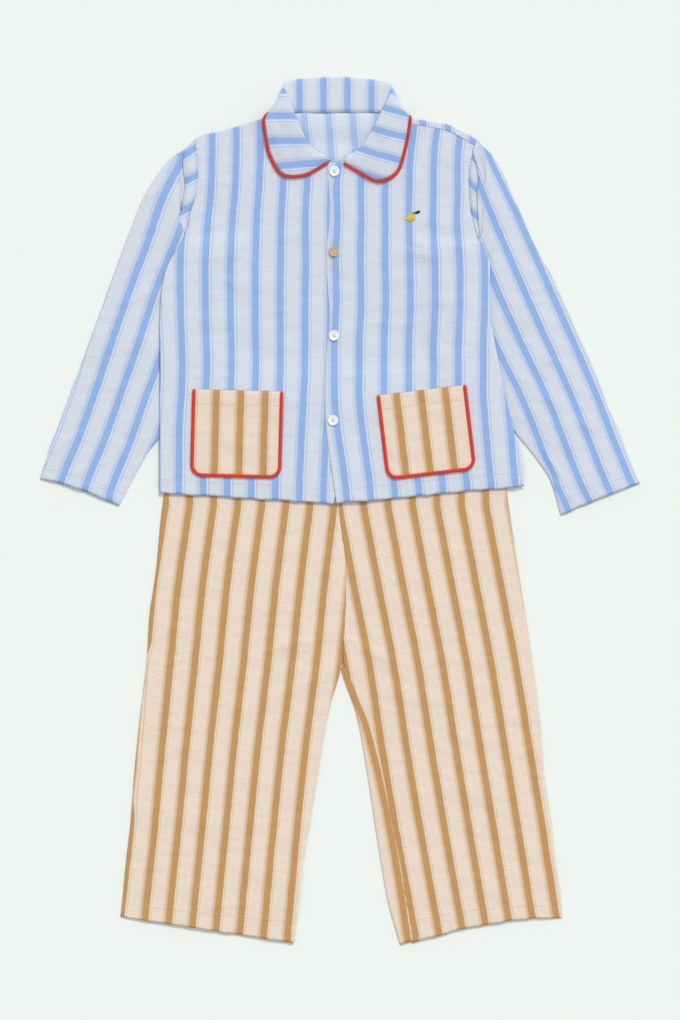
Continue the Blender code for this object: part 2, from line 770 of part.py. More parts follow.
for patch in POCKETS:
    add_pocket(patch)
for number, fastening in enumerate(BUTTONS, start=1):
    add_button(number, fastening)
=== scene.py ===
"""Looks of a child's striped pyjama set that lies flat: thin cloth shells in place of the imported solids.

Sizes are in millimetres until MM turns them into metres. +X is the wearer's left, +Y runs from the trouser
hems to the collar and +Z is up. The tables repeat the outline of the solids; the shells add the roll of the
folded edges, ripples, creases, seams, stitches and the stripes, which follow a map called "grain" (across
the stripes, along them) that every piece of cloth carries.
"""

import math
from collections import namedtuple

import bpy
import numpy as np
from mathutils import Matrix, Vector
from mathutils.bvhtree import BVHTree


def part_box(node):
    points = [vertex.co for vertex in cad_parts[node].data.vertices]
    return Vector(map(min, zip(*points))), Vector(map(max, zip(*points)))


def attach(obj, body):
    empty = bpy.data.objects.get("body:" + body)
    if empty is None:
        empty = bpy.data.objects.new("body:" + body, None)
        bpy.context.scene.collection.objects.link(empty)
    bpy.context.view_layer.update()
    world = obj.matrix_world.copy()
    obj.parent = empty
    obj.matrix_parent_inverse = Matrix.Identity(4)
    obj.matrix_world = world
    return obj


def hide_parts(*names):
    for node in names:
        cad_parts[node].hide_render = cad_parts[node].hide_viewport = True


MM = 0.001


def table(kind, *rows):
    """Rows of one kind, from their plain values in the order of its names."""
    return tuple(kind(*row) for row in rows)


FABRIC = 0.5                 # wall of the shells
PLY = 1.5                    # rise from one layer of the solids to the next
BOTTOM = 0.6                 # middle of the layer on the ground
SECOND = BOTTOM + PLY
OVER_TWO = 2 * PLY           # lift of cloth that crosses two layers
FOLD = PLY / 2               # radius of a folded edge

FINE = 2.8                   # grid of the cloth that shows
COARSE = 7.0                 # grid of the cloth that stays hidden
EDGE_STEPS = (0, 0.7, 1.6, 3)  # extra columns where a panel rolls over at its edge

JACKET_PERIOD = 31.0         # width of one repeat of each stripe
TROUSER_PERIOD = 30.5

NECK_CENTRE = (-3.5, 497)
NECK_HALF_WIDTH = 67.5
NECK_DEPTH = 64
NECK_ANGLES = (62, 46, 31, 15, 0)

BodyRow = namedtuple("BodyRow", "right_x right_y left_x left_y mid_y lap_x under_x mid_lift side_lift")
BODY = table(
    BodyRow,
    (-225, 21.5, 230, 30, 8, -4.5, -9, OVER_TWO, OVER_TWO),
    (-225, 32, 229, 41, 21, -6.5, -5.5, OVER_TWO, OVER_TWO),
    (-225, 62, 227.5, 65, 60, -12, -1, OVER_TWO, OVER_TWO),
    (-225, 103, 216, 103, 103, -17.5, 1, OVER_TWO, OVER_TWO),
    (-225, 160, 203, 160, 160, -18.5, 1, OVER_TWO, OVER_TWO),
    (-225, 190, 197, 190, 190, -17.5, 2, 0, OVER_TWO),
    (-225, 240, 188.5, 240, 240, -13.5, 4, 0, OVER_TWO),
    (-222, 280, 187, 280, 280, -15.5, 5, 0, OVER_TWO),
    (-212.5, 312, 186, 312, 311, -17, 5, 0, OVER_TWO),
    (-199, 332, 177, 330, 331, -16.5, 5, 0, OVER_TWO),
    (-192.4, 348, 172.4, 340, 347, -14.5, 6, 0, 0),
    (-188.7, 367, 165, 365, 372, -13, 7, 0, 0),
    (-182.2, 387, 162.3, 387, 400, -14, 7, 0, 0),
    (-177.7, 413, 161, 413, 433.5, -16.5, 8, 0, 0),
)
ARMPIT_ROW = 10
BACK_PLACKET_Y = 425
SIDE_REACH = (68, 93)        # where the lift beside the sleeves gives way to the lift in the middle
LAP_REACH = (47, 22)         # where the upper front climbs on to the lower one

NeckRow = namedtuple("NeckRow", "right_x right_y left_x left_y back_y front_lift back_lift")
NECK = table(
    NeckRow,
    (-177.8, 424, 161.2, 421, 437, 0.4, 0),
    (-178.3, 434, 162.3, 429, 450, 1.2, 0),
    (-179, 444, 164.5, 438, 462, 2.6, 0),
    (-180, 454, 167.5, 447, 480, 3.9, 3.5),
    (-181, 463, 170.5, 456, 497, 4.1, 3.5),
)

SleeveRing = namedtuple("SleeveRing", "outer_x outer_y inner_x inner_y")
SLEEVE_RIGHT = table(
    SleeveRing,
    (-211, 441, -193, 336),
    (-226, 421, -195, 318),
    (-243, 394, -193, 294),
    (-264.5, 341, -190, 262),
    (-283.5, 289, -187, 225),
    (-304, 232, -193, 185),
    (-322, 184, -207, 140),
    (-337, 142, -226, 92),
    (-350, 107, -241, 72),
    (-362, 76, -255, 47),
    (-374, 39, -277, 5),
)
SLEEVE_LEFT = table(
    SleeveRing,
    (192, 440, 171, 332),
    (206, 414, 170, 310),
    (220, 382, 164, 288),
    (242, 331, 157, 255),
    (262.5, 295, 156, 220),
    (282.5, 251, 168, 180),
    (300, 213, 190, 138),
    (320.5, 167, 217, 101),
    (334, 128, 232, 83),
    (347, 102, 247, 64),
    (358.5, 70, 263, 40),
    (374, 33, 277, -6),
)
# The pleat along each armhole: the sleeve turns down here from the strip that is sewn to the body.
PleatPoint = namedtuple("PleatPoint", "x y")
PLEAT_RIGHT = table(
    PleatPoint,
    (-194, 454), (-195.5, 441), (-194.5, 420), (-193, 408), (-196, 386), (-197.5, 374), (-202, 366),
    (-202.5, 353), (-198, 344),
)
PLEAT_LEFT = table(
    PleatPoint,
    (171.5, 456), (166.5, 444), (171, 429), (173, 415), (172, 400), (172.5, 372), (173.5, 358),
    (174.5, 346), (173, 337),
)

# Rows from the pleat's fold to the sleeve proper: how far out from the fold, and how high over the layer.
FoldShift = namedtuple("FoldShift", "outwards height")
SLEEVE_UNDER_STRIP = table(
    FoldShift,
    (0, 2.2), (0.6, 1.5), (-4, 0.75), (-5, 0.2), (-3, -0.3), (4, 0),
)
SLEEVE_OVER_STRIP = table(
    FoldShift,
    (5, -0.2), (5.8, 0.5), (4.5, 0.9), (-0.3, 1.3), (0.5, 1.9), (6, 2.0),
)
STRIP_GRAIN_ROWS = 4         # rows that carry the strip's own stripes
SLEEVE_WIDTH = 112
SLEEVE_LENGTH = 440
SLEEVE_LOFT = 2.0
SLEEVE_EDGE_TAKE = 1.8       # how much of a stripe the outer edge of the right sleeve takes round to its back
CUFF_FOLD_Y = 45             # a fold across the inner edge of the left sleeve pushes its stripe aside
CUFF_FOLD_TAKE = 6
CUFF_BOW = (4, 1.5)          # how far the middles of the right and the left cuff stand back from their ends
CUFF_BOW_REACH = 90
BACK_BOW_SHARE = 0.65        # the lower layer of a cuff stands back less
SLEEVE_LEAD = 0.4            # how far the row between the strip and the sleeve's head is on its way
FAR_FROM_HEM = 400           # where cloth has no seam of a hem to show
NO_HEM = 500                 # distance given to cloth without a hem

SlantedStripes = namedtuple("SlantedStripes", "x y slope period first")

# Stripes of each strip beside a sleeve: a point on one of them, their slope, their spacing and its number
STRIP_STRIPES = (SlantedStripes(-190, 449, 0.5, 35.7, 0), SlantedStripes(167, 403.8, -0.9, 33.2, 1))

# Soft pushes that round the straight lines between the rows, each with its middle, its way and its reach.
Push = namedtuple("Push", "x y across along reach_x reach_y")
PUSHES = table(
    Push,
    (138, 465, 0, 11, 40, 34),
    (-196, 452, 0, -4, 13, 26),
    (-168, 468, 0, 2.5, 14, 26),
)

LegRow = namedtuple("LegRow", "outer_x outer_y inner_x inner_y loft wrap")
LEG_RIGHT = table(
    LegRow,
    (-205, 61.5, -3, 61.5, 0, 0),
    (-216, 38, -2.5, 35, 0, 0),
    (-221, 9, -1.5, 5, 0, 0),
    (-230, -78, 7, -72, 1, 0),
    (-238, -136, 6, -136, 1, 0),
    (-242, -197, 1, -197, 1, 0),
    (-249, -253, -13.5, -250, 1, 0),
    (-256, -320, -28, -334, 1, 0),
    (-261, -385, -37, -390, 1, 0),
    (-267, -440, -46, -445, 1, 0),
    (-271, -480, -52, -497, 1, 0),
    (-274, -508, -57.5, -541.5, 1, 0),
)
# The wrap is how far the back of this leg comes round the inside edge on to the front.
LEG_LEFT = table(
    LegRow,
    (196, 61.5, -3, 61.5, 0, 0),
    (206, 38, -2.5, 35, 0, 0),
    (210, 9, -1.5, 5, 0, 0),
    (222, -70, 7, -72, 1, 0),
    (232.5, -136, 6, -136, 1, 0),
    (242, -197, 2, -197, 1, 4),
    (250, -259, 20, -252, 1, 13),
    (255, -325, 34, -326, 1, 17.5),
    (264, -387, 44, -392, 1, 20),
    (270, -440, 52, -443, 1, 22),
    (276, -482, 61, -492, 1, 21),
    (277.5, -509, 75.5, -544, 1, 15),
)
SEAM_TAKES = (-400, -190)    # between these heights the right side seam takes in the first stripe
SEAM_TAKE = 5.5
LEFT_LEG_BOW = 7.5           # how far the middle of the left leg's hem stands back from its ends
LEG_BOW_REACH = 140
WRAP_OVERLAP = 0.6
LEG_LOFT = 1.3
CROTCH_Y = -197

CollarStation = namedtuple("CollarStation", "roll_x roll_y roll_z edge_x edge_y edge_z out_x out_y out_z")
COLLAR_RIGHT = table(
    CollarStation,
    (-17.5, 442.5, 4.6, -14.5, 436, 5.2, 0, 0, 1),
    (-29, 446, 5.0, -45, 420, None, 0, 0, 1),
    (-40, 457, 5.8, -70, 420, None, 0, 0, 1),
    (-49, 474, 7.2, -85, 441, None, -0.2, 0, 1),
    (-57, 493, 8.6, -92, 472, None, -0.5, 0, 0.9),
    (-65, 511, 9.2, -92.5, 491, 8.6, -0.8, 0, 0.6),
    (-69, 521, 8.4, -87, 498, 4.0, -1, 0, 0.1),
    (-70.5, 528, 6.6, -80, 497, 0.8, -1, 0.2, -0.4),
    (-67, 533.5, 4.0, -79, 487, BOTTOM, -0.5, 0.2, -0.9),
    (-54, 536.5, 2.2, -62, 487, BOTTOM, 0, 0, -1),
    (-33, 538, 1.9, -34, 487, BOTTOM, 0, 0, -1),
    (-3.5, 539.5, 1.9, -3.5, 487, BOTTOM, 0, 0, -1),
)
COLLAR_LEFT = table(
    CollarStation,
    (8.5, 441.5, 6.0, 5, 434.5, 6.6, 0, 0, 1),
    (18.5, 446, 6.4, 23, 424.5, None, 0, 0, 1),
    (29, 455, 6.8, 47.5, 412.5, None, 0, 0, 1),
    (38, 469, 7.6, 68, 421, None, 0.2, 0, 1),
    (47, 485, 8.8, 80.5, 454, None, 0.5, 0, 0.9),
    (55, 501, 9.4, 85.5, 484, None, 0.8, 0, 0.6),
    (62, 514, 8.8, 85.5, 492, 8.4, 1, 0, 0.3),
    (65, 524, 6.8, 77, 496, 1.6, 1, 0.2, -0.4),
    (62, 531, 4.0, 72, 487, BOTTOM, 0.5, 0.2, -0.9),
    (48, 535, 2.2, 55, 487, BOTTOM, 0, 0, -1),
    (26, 537.5, 1.9, 27, 487, BOTTOM, 0, 0, -1),
)
COLLAR_ROLL = 1.4
COLLAR_ARCH = 1.4
COLLAR_STEP = 2.6
STAND_ROWS = 9               # rows of points up the collar's stand and round its roll
FALL_ROWS = 22               # rows of points down its fall
COLLAR_WALL = 0.8
COLLAR_STRIPES_RIGHT = SlantedStripes(0, 492.5, 0, 31.25, 2)
COLLAR_STRIPES_LEFT = SlantedStripes(74.5, 497, -0.3, 30.2, 7)
COLLAR_BEND = 0.09           # slope that the right side's stripes take on below its middle
COLLAR_BEND_REACH = (462, 432)
COLLAR_BEND_X = -75
COLLAR_BEHIND_X = -50.6      # where a stripe crosses the collar behind the neck
COLLAR_BEHIND_FIRST = 2
COLLAR_BEHIND_PERIOD = 30
COLLAR_FRONT_STATIONS = (7.6, 5.6)
SHOULDER_STATION = 5
NECK_SEAM_Y = 496.4
PIPING_RADIUS = 2

Pocket = namedtuple("Pocket", "name x y width height tilt first_stripe")
POCKETS = (
    Pocket("right", -129, 95, 114, 109, -1.5, -26.6),
    Pocket("left", 108.2, 96.7, 113, 107, 6.8, -31.6),
)
POCKET_PIPING_RADIUS = 2.15
POCKET_CORNER = 15
POCKET_HEM = 18

Button = namedtuple("Button", "x y material turn")
BUTTONS = table(
    Button,
    (-7, 423.5, "white", 12),
    (-7.5, 323, "wooden", -8),
    (-7.5, 218, "white", 20),
    (-8.7, 112, "white", 2),
)
BUTTON_RADIUS = 6.5
BUTTON_THICKNESS = 2.4
# From the back to the middle of the dish, in shares of the radius and the thickness.
BUTTON_PROFILE = (
    (0.86, 0), (0.95, 0.1), (1, 0.35), (1, 0.65), (0.97, 0.88), (0.9, 1), (0.82, 0.98), (0.75, 0.88),
    (0.66, 0.8), (0.3, 0.76), (0.05, 0.76),
)
HOLE_RADIUS = 0.8
HOLE_SPREAD = 1.8
THREAD_RADIUS = 0.42
CORD_END = 0.6               # share of its girth that is left at a cord's end

STITCH = 2.2                 # length, gap and radius of the stitches that show
STITCH_GAP = 0.8
STITCH_RADIUS = 0.2

LEMON = (88.5, 365.6)

Patch = namedtuple("Patch", "x y half_length half_width turn lean threads radius")

# Patches of satin stitch, placed from the middle of the lemon
LEMON_FRUIT = (Patch(0, 0, 6.2, 5.0, 22, 0.4, 26, 0.3), Patch(-6.0, -2.2, 1.5, 1.3, 22, 0, 7, 0.26))
LEMON_LEAF = (Patch(8.6, 6.4, 3.4, 1.9, 20, 0.5, 15, 0.27), Patch(3.6, 5.4, 2.6, 0.7, 30, 0, 9, 0.26))

BAND_WIDTH = 6.5             # how far the back comes over the wearer's left shoulder
BAND_ROLL = 1.1
BAND_SHIFT = 4.2             # its stripes stand this far from those inside the neck

JACKET_HEM = 17.5            # depth of each hem, up to its stitches
TROUSER_HEM = 20
CUFF_HEM = 14

STRIPE_SHIFT = 0.6           # added to every place below
# Where the stripes run. Each row says where stripe number zero is at this height, and the way to the next.
GrainRow = namedtuple("GrainRow", "y first step")
GRAIN_FRONT_RIGHT = table(
    GrainRow,
    (0, -201.9, 30.1), (24, -201.9, 30.1), (100, -201.5, 30.6), (174, -197.8, 30.6), (250, -199.9, 31.1),
    (325, -199.6, 31.2), (362, -196, 30.4), (400, -191.8, 29.9), (437, -191, 30.2), (500, -190.6, 30.1),
)
GRAIN_FRONT_LEFT = table(
    GrainRow,
    (0, 8.5, 30.2), (24, 6.9, 30.3), (62, 1.9, 30.5), (100, -3.8, 30.9), (137, -7.5, 31), (174, -7.8, 31),
    (212, -7.6, 31), (250, -5.5, 30.9), (325, -6, 30.8), (362, -4, 29.9), (400, -5, 30.3),
    (437, -1.9, 29.7), (475, 1.5, 30.1),
)
GRAIN_BACK = table(
    GrainRow,
    (0, -9, 30.4), (400, -9.5, 30.4), (442, -11.3, 30.3), (490, -14.9, 30.3), (510, -16, 30.1),
)
GRAIN_SLEEVE_RIGHT = table(
    GrainRow,
    (20, -354.2, 32.7), (35, -349.5, 33), (87, -328.3, 33), (137, -310.1, 32.6), (206, -287.1, 33.6),
    (274, -263.6, 32.4), (337, -240.4, 34.2), (387, -223.4, 37), (441, -196.9, 38),
)
GRAIN_SLEEVE_LEFT = table(
    GrainRow,
    (-10, 287.5, 31.3), (10, 279.9, 31.5), (31, 267.8, 32.3), (87, 247.7, 31.3), (143, 225, 31.6),
    (199, 197.4, 32.8), (256, 170.7, 33.2), (308, 149.1, 32.8), (359, 129, 32), (412, 115.4, 28),
    (456, 100.2, 26),
)
GRAIN_LEG_RIGHT = table(
    GrainRow,
    (-530, -276, 30), (-494, -272.6, 30), (-394, -261.5, 29.7), (-294, -252.5, 29.9), (-194, -243, 30.4),
    (-94, -233.2, 30.5), (6, -218.5, 30.1),
)
GRAIN_LEG_LEFT = table(
    GrainRow,
    (-530, 93.5, 29.9), (-494, 86.8, 30.1), (-394, 68.3, 30.6), (-294, 51.5, 30.7), (-194, 36.3, 30.5),
    (-94, 16.9, 30.6), (6, -1.8, 30.6),
)
# The strip of the left back that shows along the inside leg has one stripe of its own.
GRAIN_WRAP = table(
    GrainRow,
    (-540, 84.5, 30), (-488, 77, 30), (-425, 66.5, 30), (-363, 54.5, 30), (-300, 40, 30), (-263, 29.5, 30),
    (-238, 19, 30), (-200, 5.5, 30),
)

# Soft ridges (or troughs, below zero): the middle, the direction in degrees, how long, wide and high.
Crease = namedtuple("Crease", "x y angle length width height bend")
TROUSER_CREASES = table(
    Crease,
    (-40, -215, 24, 150, 9, 1.5, 8),
    (-62, -168, 12, 120, 8, 1.1, -6),
    (-120, -248, 8, 150, 10, 0.9, 7),
    (-196, -150, -14, 90, 9, 1.0, 5),
    (-205, -300, 6, 80, 8, 0.8, -4),
    (-170, -392, -5, 150, 11, 0.9, 9),
    (-95, -452, -12, 120, 10, 1.0, -8),
    (-226, -452, 78, 90, 8, 0.7, 4),
    (44, -178, -28, 120, 8, 1.4, -7),
    (88, -232, -14, 140, 10, 1.1, 8),
    (160, -128, 16, 110, 9, 0.9, -6),
    (205, -262, 10, 80, 8, 0.8, 5),
    (150, -352, -8, 150, 11, 1.0, -9),
    (112, -440, 9, 110, 9, 0.9, 6),
    (228, -416, -70, 90, 8, 0.8, -4),
    (238, -300, 25, 60, 6, 1.2, 3),
)
JACKET_CREASES = table(
    Crease,
    (-170, 352, 18, 90, 7, 1.2, 5),
    (-158, 318, 6, 110, 8, 0.9, -6),
    (-110, 282, -4, 150, 9, 0.8, 5),
    (-60, 342, 4, 90, 7, 0.9, 4),
    (-150, 236, 3, 120, 8, 0.8, -5),
    (-72, 205, -5, 100, 8, 0.8, 4),
    (-190, 178, 80, 110, 8, 0.9, 4),
    (-104, 410, 64, 70, 8, 0.9, -4),
    (-150, 430, 20, 60, 7, 0.8, 3),
    (132, 356, -16, 90, 7, 1.2, -5),
    (110, 316, -6, 110, 8, 1.0, 6),
    (58, 288, 5, 110, 8, 0.8, -4),
    (130, 262, 4, 100, 8, 0.9, 5),
    (64, 232, -4, 90, 7, 0.8, 4),
    (152, 210, -82, 120, 8, 1.0, -5),
    (92, 418, -70, 70, 8, 0.9, 4),
    (138, 430, -24, 50, 7, 0.9, 3),
    (172, 128, 84, 140, 8, 1.1, 4),
    (40, 66, 70, 90, 8, 0.8, -4),
    (-40, 70, -80, 90, 8, 0.8, 4),
)
SLEEVE_CREASES = table(
    Crease,
    (-232, 398, 40, 46, 5, 1.4, 3),
    (-246, 352, 32, 62, 7, 1.0, -4),
    (-262, 262, 18, 76, 8, 1.0, 5),
    (-276, 216, 30, 60, 7, 0.8, -3),
    (-300, 158, 14, 76, 8, 1.0, 4),
    (-322, 96, 26, 70, 7, 0.9, -4),
    (-250, 120, 64, 70, 6, 1.1, 3),
    (232, 372, -36, 60, 6, 1.3, -3),
    (246, 296, -30, 74, 7, 1.1, 4),
    (276, 232, -16, 80, 8, 1.0, -5),
    (262, 186, -40, 66, 7, 1.0, 4),
    (300, 152, -24, 80, 8, 0.9, 4),
    (318, 104, -12, 70, 7, 1.0, -4),
    (263, 60, -58, 60, 3.5, 2.6, 3),
    (330, 118, -46, 40, 5, 1.2, 2),
)

# Colours as seen on the cloth (red, green, blue up to 255), by distance across the stripe from its middle.
Band = namedtuple("Band", "at colour crinkle")
JACKET_BANDS = table(
    Band,
    (0, (149, 182, 231), 0.2),
    (2.9, (149, 182, 230), 0.2),
    (3.6, (152, 178, 219), 0.3),
    (4.5, (178, 199, 232), 0.4),
    (5.2, (211, 226, 253), 0.5),
    (6.1, (211, 226, 252), 0.6),
    (6.9, (187, 199, 221), 0.7),
    (7.6, (190, 202, 223), 0.8),
    (8.5, (213, 221, 234), 1.0),
    (15.0, (215, 221, 233), 1.0),
    (21.6, (214, 221, 233), 1.0),
    (22.8, (208, 217, 232), 0.9),
    (23.8, (192, 205, 226), 0.8),
    (24.6, (194, 208, 231), 0.7),
    (25.4, (195, 212, 239), 0.5),
    (26.4, (188, 206, 238), 0.4),
    (27.3, (160, 185, 226), 0.3),
    (28.2, (149, 182, 230), 0.2),
)
TROUSER_BANDS = table(
    Band,
    (0, (197, 151, 98), 0.2),
    (2.6, (196, 150, 97), 0.2),
    (3.4, (194, 151, 106), 0.3),
    (4.4, (216, 184, 148), 0.4),
    (5.1, (240, 216, 188), 0.5),
    (5.9, (239, 216, 190), 0.6),
    (6.8, (217, 195, 171), 0.7),
    (7.8, (237, 220, 202), 1.0),
    (14.0, (236, 219, 202), 1.0),
    (21.8, (236, 218, 201), 1.0),
    (23.0, (224, 203, 182), 0.8),
    (24.4, (220, 193, 165), 0.7),
    (25.5, (222, 191, 156), 0.5),
    (26.6, (200, 160, 115), 0.3),
    (27.6, (197, 152, 100), 0.2),
)

# What each piece of cloth was cut to, in metres and square metres, and what it lies on.
Cut = namedtuple("Cut", "piece width length area held rests_on")
CUTS = table(
    Cut,
    ("front_of_right_leg", 0.30, 0.66, 0.160, "laid", ("back_of_right_leg",)),
    ("front_of_left_leg", 0.30, 0.66, 0.155, "laid", ("back_of_left_leg",)),
    ("back_of_right_leg", 0.30, 0.66, 0.160, "laid", ()),
    ("back_of_left_leg", 0.30, 0.66, 0.160, "laid", ()),
    ("elastic_waistband", 0.75, 0.028, 0.021, "gathered", ()),
    ("back_of_jacket", 0.48, 0.52, 0.210, "laid", ("front_of_right_leg", "front_of_left_leg")),
    ("right_front", 0.27, 0.52, 0.115, "laid", ("back_of_jacket",)),
    ("left_front", 0.27, 0.52, 0.115, "laid", ("back_of_jacket", "right_front")),
    ("right_sleeve", 0.27, 0.48, 0.112, "laid", ()),
    ("left_sleeve", 0.27, 0.48, 0.115, "laid", ()),
    ("turned_collar", 0.40, 0.08, 0.030, "folded", ("right_front", "left_front")),
    ("patch_pocket_right", 0.118, 0.125, 0.014, "laid", ("right_front",)),
    ("patch_pocket_left", 0.118, 0.125, 0.014, "laid", ("left_front",)),
)

JACKET_VEIL = (228, 238, 252)
TROUSER_VEIL = (244, 232, 218)
VEIL_SHARE = 0.3
PLAIN_SHINE = 0.5

# Light whose sum on level ground shows each colour as it is given.
CAMERA_HEIGHT = 14
SENSOR = 36
VIEW_HEIGHT = 1.275
FLOOR_COLOUR = (240, 245, 241)
FLOOR_SIDE = 180
SKY = 0.62
SUN_SLOPE = 46
SUN_TURN = -24
SUN_SOFTNESS = 16
SUN = (1 - SKY) * math.pi / math.cos(math.radians(SUN_SLOPE))


# Curves, noise and heights


def smoothstep(start, end, at):
    t = np.clip((np.asarray(at, float) - start) / (end - start), 0, 1)
    return t * t * (3 - 2 * t)


def flowing(at, places, values):
    """Values at these places, on a smooth curve through a table's rows."""
    at = np.atleast_1d(np.asarray(at, float))
    places = np.asarray(places, float)
    values = np.asarray(values, float)
    slopes = np.gradient(values, places, axis=0)
    upper = np.clip(np.searchsorted(places, at), 1, len(places) - 1)
    lower = upper - 1
    shape = (-1,) + (1,) * (values.ndim - 1)
    width = (places[upper] - places[lower]).reshape(shape)
    t = np.clip((at - places[lower]).reshape(shape) / width, 0, 1)
    return (
        values[lower] * (1 + 2 * t) * (1 - t) ** 2
        + values[upper] * t ** 2 * (3 - 2 * t)
        + slopes[lower] * width * t * (1 - t) ** 2
        + slopes[upper] * width * t ** 2 * (t - 1)
    )


def run_of(points):
    """Distance along a path of points."""
    steps = np.linalg.norm(np.diff(points, axis=0), axis=1)
    return np.concatenate([[0], np.cumsum(steps)])


def spread(length, step):
    return np.linspace(0, length, int(math.ceil(length / step)) + 1)


def across_steps(width, step):
    """Fractions across a panel, closer together where its two edges roll over."""
    edge = np.array(EDGE_STEPS)
    inner = edge[-1] + spread(width - 2 * edge[-1], step)
    return np.concatenate([edge[:-1], inner, (width - edge[:-1])[::-1]]) / width


def lattice(column, row, seed):
    """A fixed number from -1 to 1 for each corner of a square lattice."""
    mixed = (column * 374761393 + row * 668265263 + seed * 362437) & 0xFFFFFFFF
    mixed = ((mixed ^ (mixed >> 13)) * 1274126177) & 0xFFFFFFFF
    return ((mixed ^ (mixed >> 16)) & 0xFFFF) / 32767.5 - 1


def noise(x, y, seed):
    """Smooth noise from -1 to 1 whose features are one unit across."""
    column = np.floor(x).astype(np.int64)
    row = np.floor(y).astype(np.int64)
    s = smoothstep(0, 1, x - column)
    t = smoothstep(0, 1, y - row)
    low = lattice(column, row, seed) * (1 - s) + lattice(column + 1, row, seed) * s
    high = lattice(column, row + 1, seed) * (1 - s) + lattice(column + 1, row + 1, seed) * s
    return low * (1 - t) + high * t


def ripples(across, along, seed):
    """The puckers of crinkled cotton, which run across its stripes."""
    drift = noise(across / 23, along / 40, seed + 1) * 5
    return (
        0.34 * noise(across / 19, (along + drift) / 7, seed + 2)
        + 0.20 * noise(across / 11, (along + drift) / 4.4, seed + 3)
        + 0.45 * noise(across / 28, along / 17, seed + 4)
    )


def crease_height(x, y, creases):
    """Height that the soft ridges and troughs of a table add."""
    height = np.zeros_like(x)
    for crease in creases:
        turn = math.radians(crease.angle)
        along = (x - crease.x) * math.cos(turn) + (y - crease.y) * math.sin(turn)
        aside = (y - crease.y) * math.cos(turn) - (x - crease.x) * math.sin(turn)
        share = along / (crease.length / 2)
        aside = aside - crease.bend * share ** 2
        width = crease.width * (1 + 0.35 * share)
        taper = np.clip(1 - share ** 2, 0, 1) ** 1.5
        height += crease.height * taper * np.exp(-(aside / width) ** 2)
    return height


# Cloth shells


class Grid:
    """Rows and columns of points with their grain and their distance from the hem, in millimetres."""

    def __init__(self, points, grain, hem=None, closed=False, turned=False):
        self.points = points
        self.grain = grain
        self.hem = np.full(points.shape[:2], 500.0) if hem is None else hem
        self.closed = closed
        self.turned = turned


def grid_faces(grid):
    rows, columns = grid.points.shape[:2]
    index = np.arange(rows * columns).reshape(rows, columns)
    if grid.closed:
        index = np.concatenate([index, index[:, :1]], axis=1)
    corners = (index[:-1, :-1], index[:-1, 1:], index[1:, 1:], index[1:, :-1])
    return np.stack([corner.ravel() for corner in corners], axis=1)


def faces_up(points, grid):
    """The faces turned so that a sheet looks up, or down if it is turned over, and a closed one looks out."""
    faces = grid_faces(grid)
    a, b, c = (points[faces[:, corner]] for corner in (0, 1, 2))
    normals = np.cross(b - a, c - a)
    if grid.closed:
        middle = points.mean(axis=0)
        outwards = (normals[:, 2] * (a[:, 2] - middle[2])).sum()
    else:
        outwards = normals[:, 2].sum()
    return faces if (outwards > 0) != grid.turned else faces[:, ::-1]


def pushed(points):
    moved = points.copy()
    for push in PUSHES:
        aside = (points[:, 0] - push.x) / push.reach_x
        ahead = (points[:, 1] - push.y) / push.reach_y
        reach = np.exp(-aside ** 2 - ahead ** 2)
        moved[:, 0] += push.across * reach
        moved[:, 1] += push.along * reach
    return moved


def new_piece(name, points, faces, grain, materials):
    """An object on the only body, from points in millimetres, with its grain as the map of its surface."""
    mesh = bpy.data.meshes.new(name)
    mesh.from_pydata((points * MM).tolist(), [], faces)
    layer = mesh.uv_layers.new(name="grain")
    corners = np.zeros(len(mesh.loops), np.int32)
    mesh.loops.foreach_get("vertex_index", corners)
    layer.uv.foreach_set("vector", (grain[corners] * MM).astype(np.float32).ravel())
    for material in materials:
        mesh.materials.append(material)
    mesh.shade_smooth()
    piece = bpy.data.objects.new(name, mesh)
    visible.objects.link(piece)
    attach(piece, "root")
    return piece


def shell(name, node, grids, looks, wall=FABRIC):
    """One piece of cloth from its grids, with a wall, its two sides' materials and its grain."""
    parts = [grid.points.reshape(-1, 3) for grid in grids]
    starts = np.cumsum([0] + [len(part) for part in parts])
    faces = np.concatenate([faces_up(part, grid) + start for part, grid, start in zip(parts, grids, starts)])
    grain = np.concatenate([grid.grain.reshape(-1, 2) for grid in grids])
    materials = [cloth_looks[look] for look in looks]
    piece = new_piece(name, pushed(np.concatenate(parts)), faces.tolist(), grain, materials)
    hem = piece.data.attributes.new("hem", "FLOAT", "POINT")
    hem.data.foreach_set("value", np.concatenate([grid.hem.ravel() for grid in grids]).astype(np.float32))
    if len(grids) > 1:
        weld = piece.modifiers.new("weld", "WELD")
        weld.merge_threshold = 0.01 * MM
    solid = piece.modifiers.new("wall", "SOLIDIFY")
    solid.thickness = wall * MM
    solid.offset = 0
    solid.material_offset = 1
    solid.material_offset_rim = 0
    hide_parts(node)
    return piece


def grain_at(rows, x, y, period):
    """Distance across the stripes at these places, from the middle of stripe number zero."""
    heights = [row.y for row in rows]
    at = np.clip(y.ravel(), heights[0], heights[-1])
    first, step = flowing(at, heights, [(row.first, row.step) for row in rows]).T
    number = (x - STRIPE_SHIFT - first.reshape(x.shape)) / step.reshape(x.shape)
    return number * period


def slant_number(stripes, x, y):
    """Number of the stripe at each point of cloth whose stripes slant."""
    return stripes.first + (stripes.y - (y - stripes.slope * (x - stripes.x))) / stripes.period


def with_height(flat, height):
    return np.concatenate([flat, height[..., None]], axis=-1)


def tree_over(pieces):
    """A search tree over the surfaces of some pieces, in millimetres."""
    points = []
    faces = []
    for piece in pieces:
        start = len(points)
        points += [vertex.co / MM for vertex in piece.data.vertices]
        faces += [[start + index for index in polygon.vertices] for polygon in piece.data.polygons]
    return BVHTree.FromPolygons(points, faces)


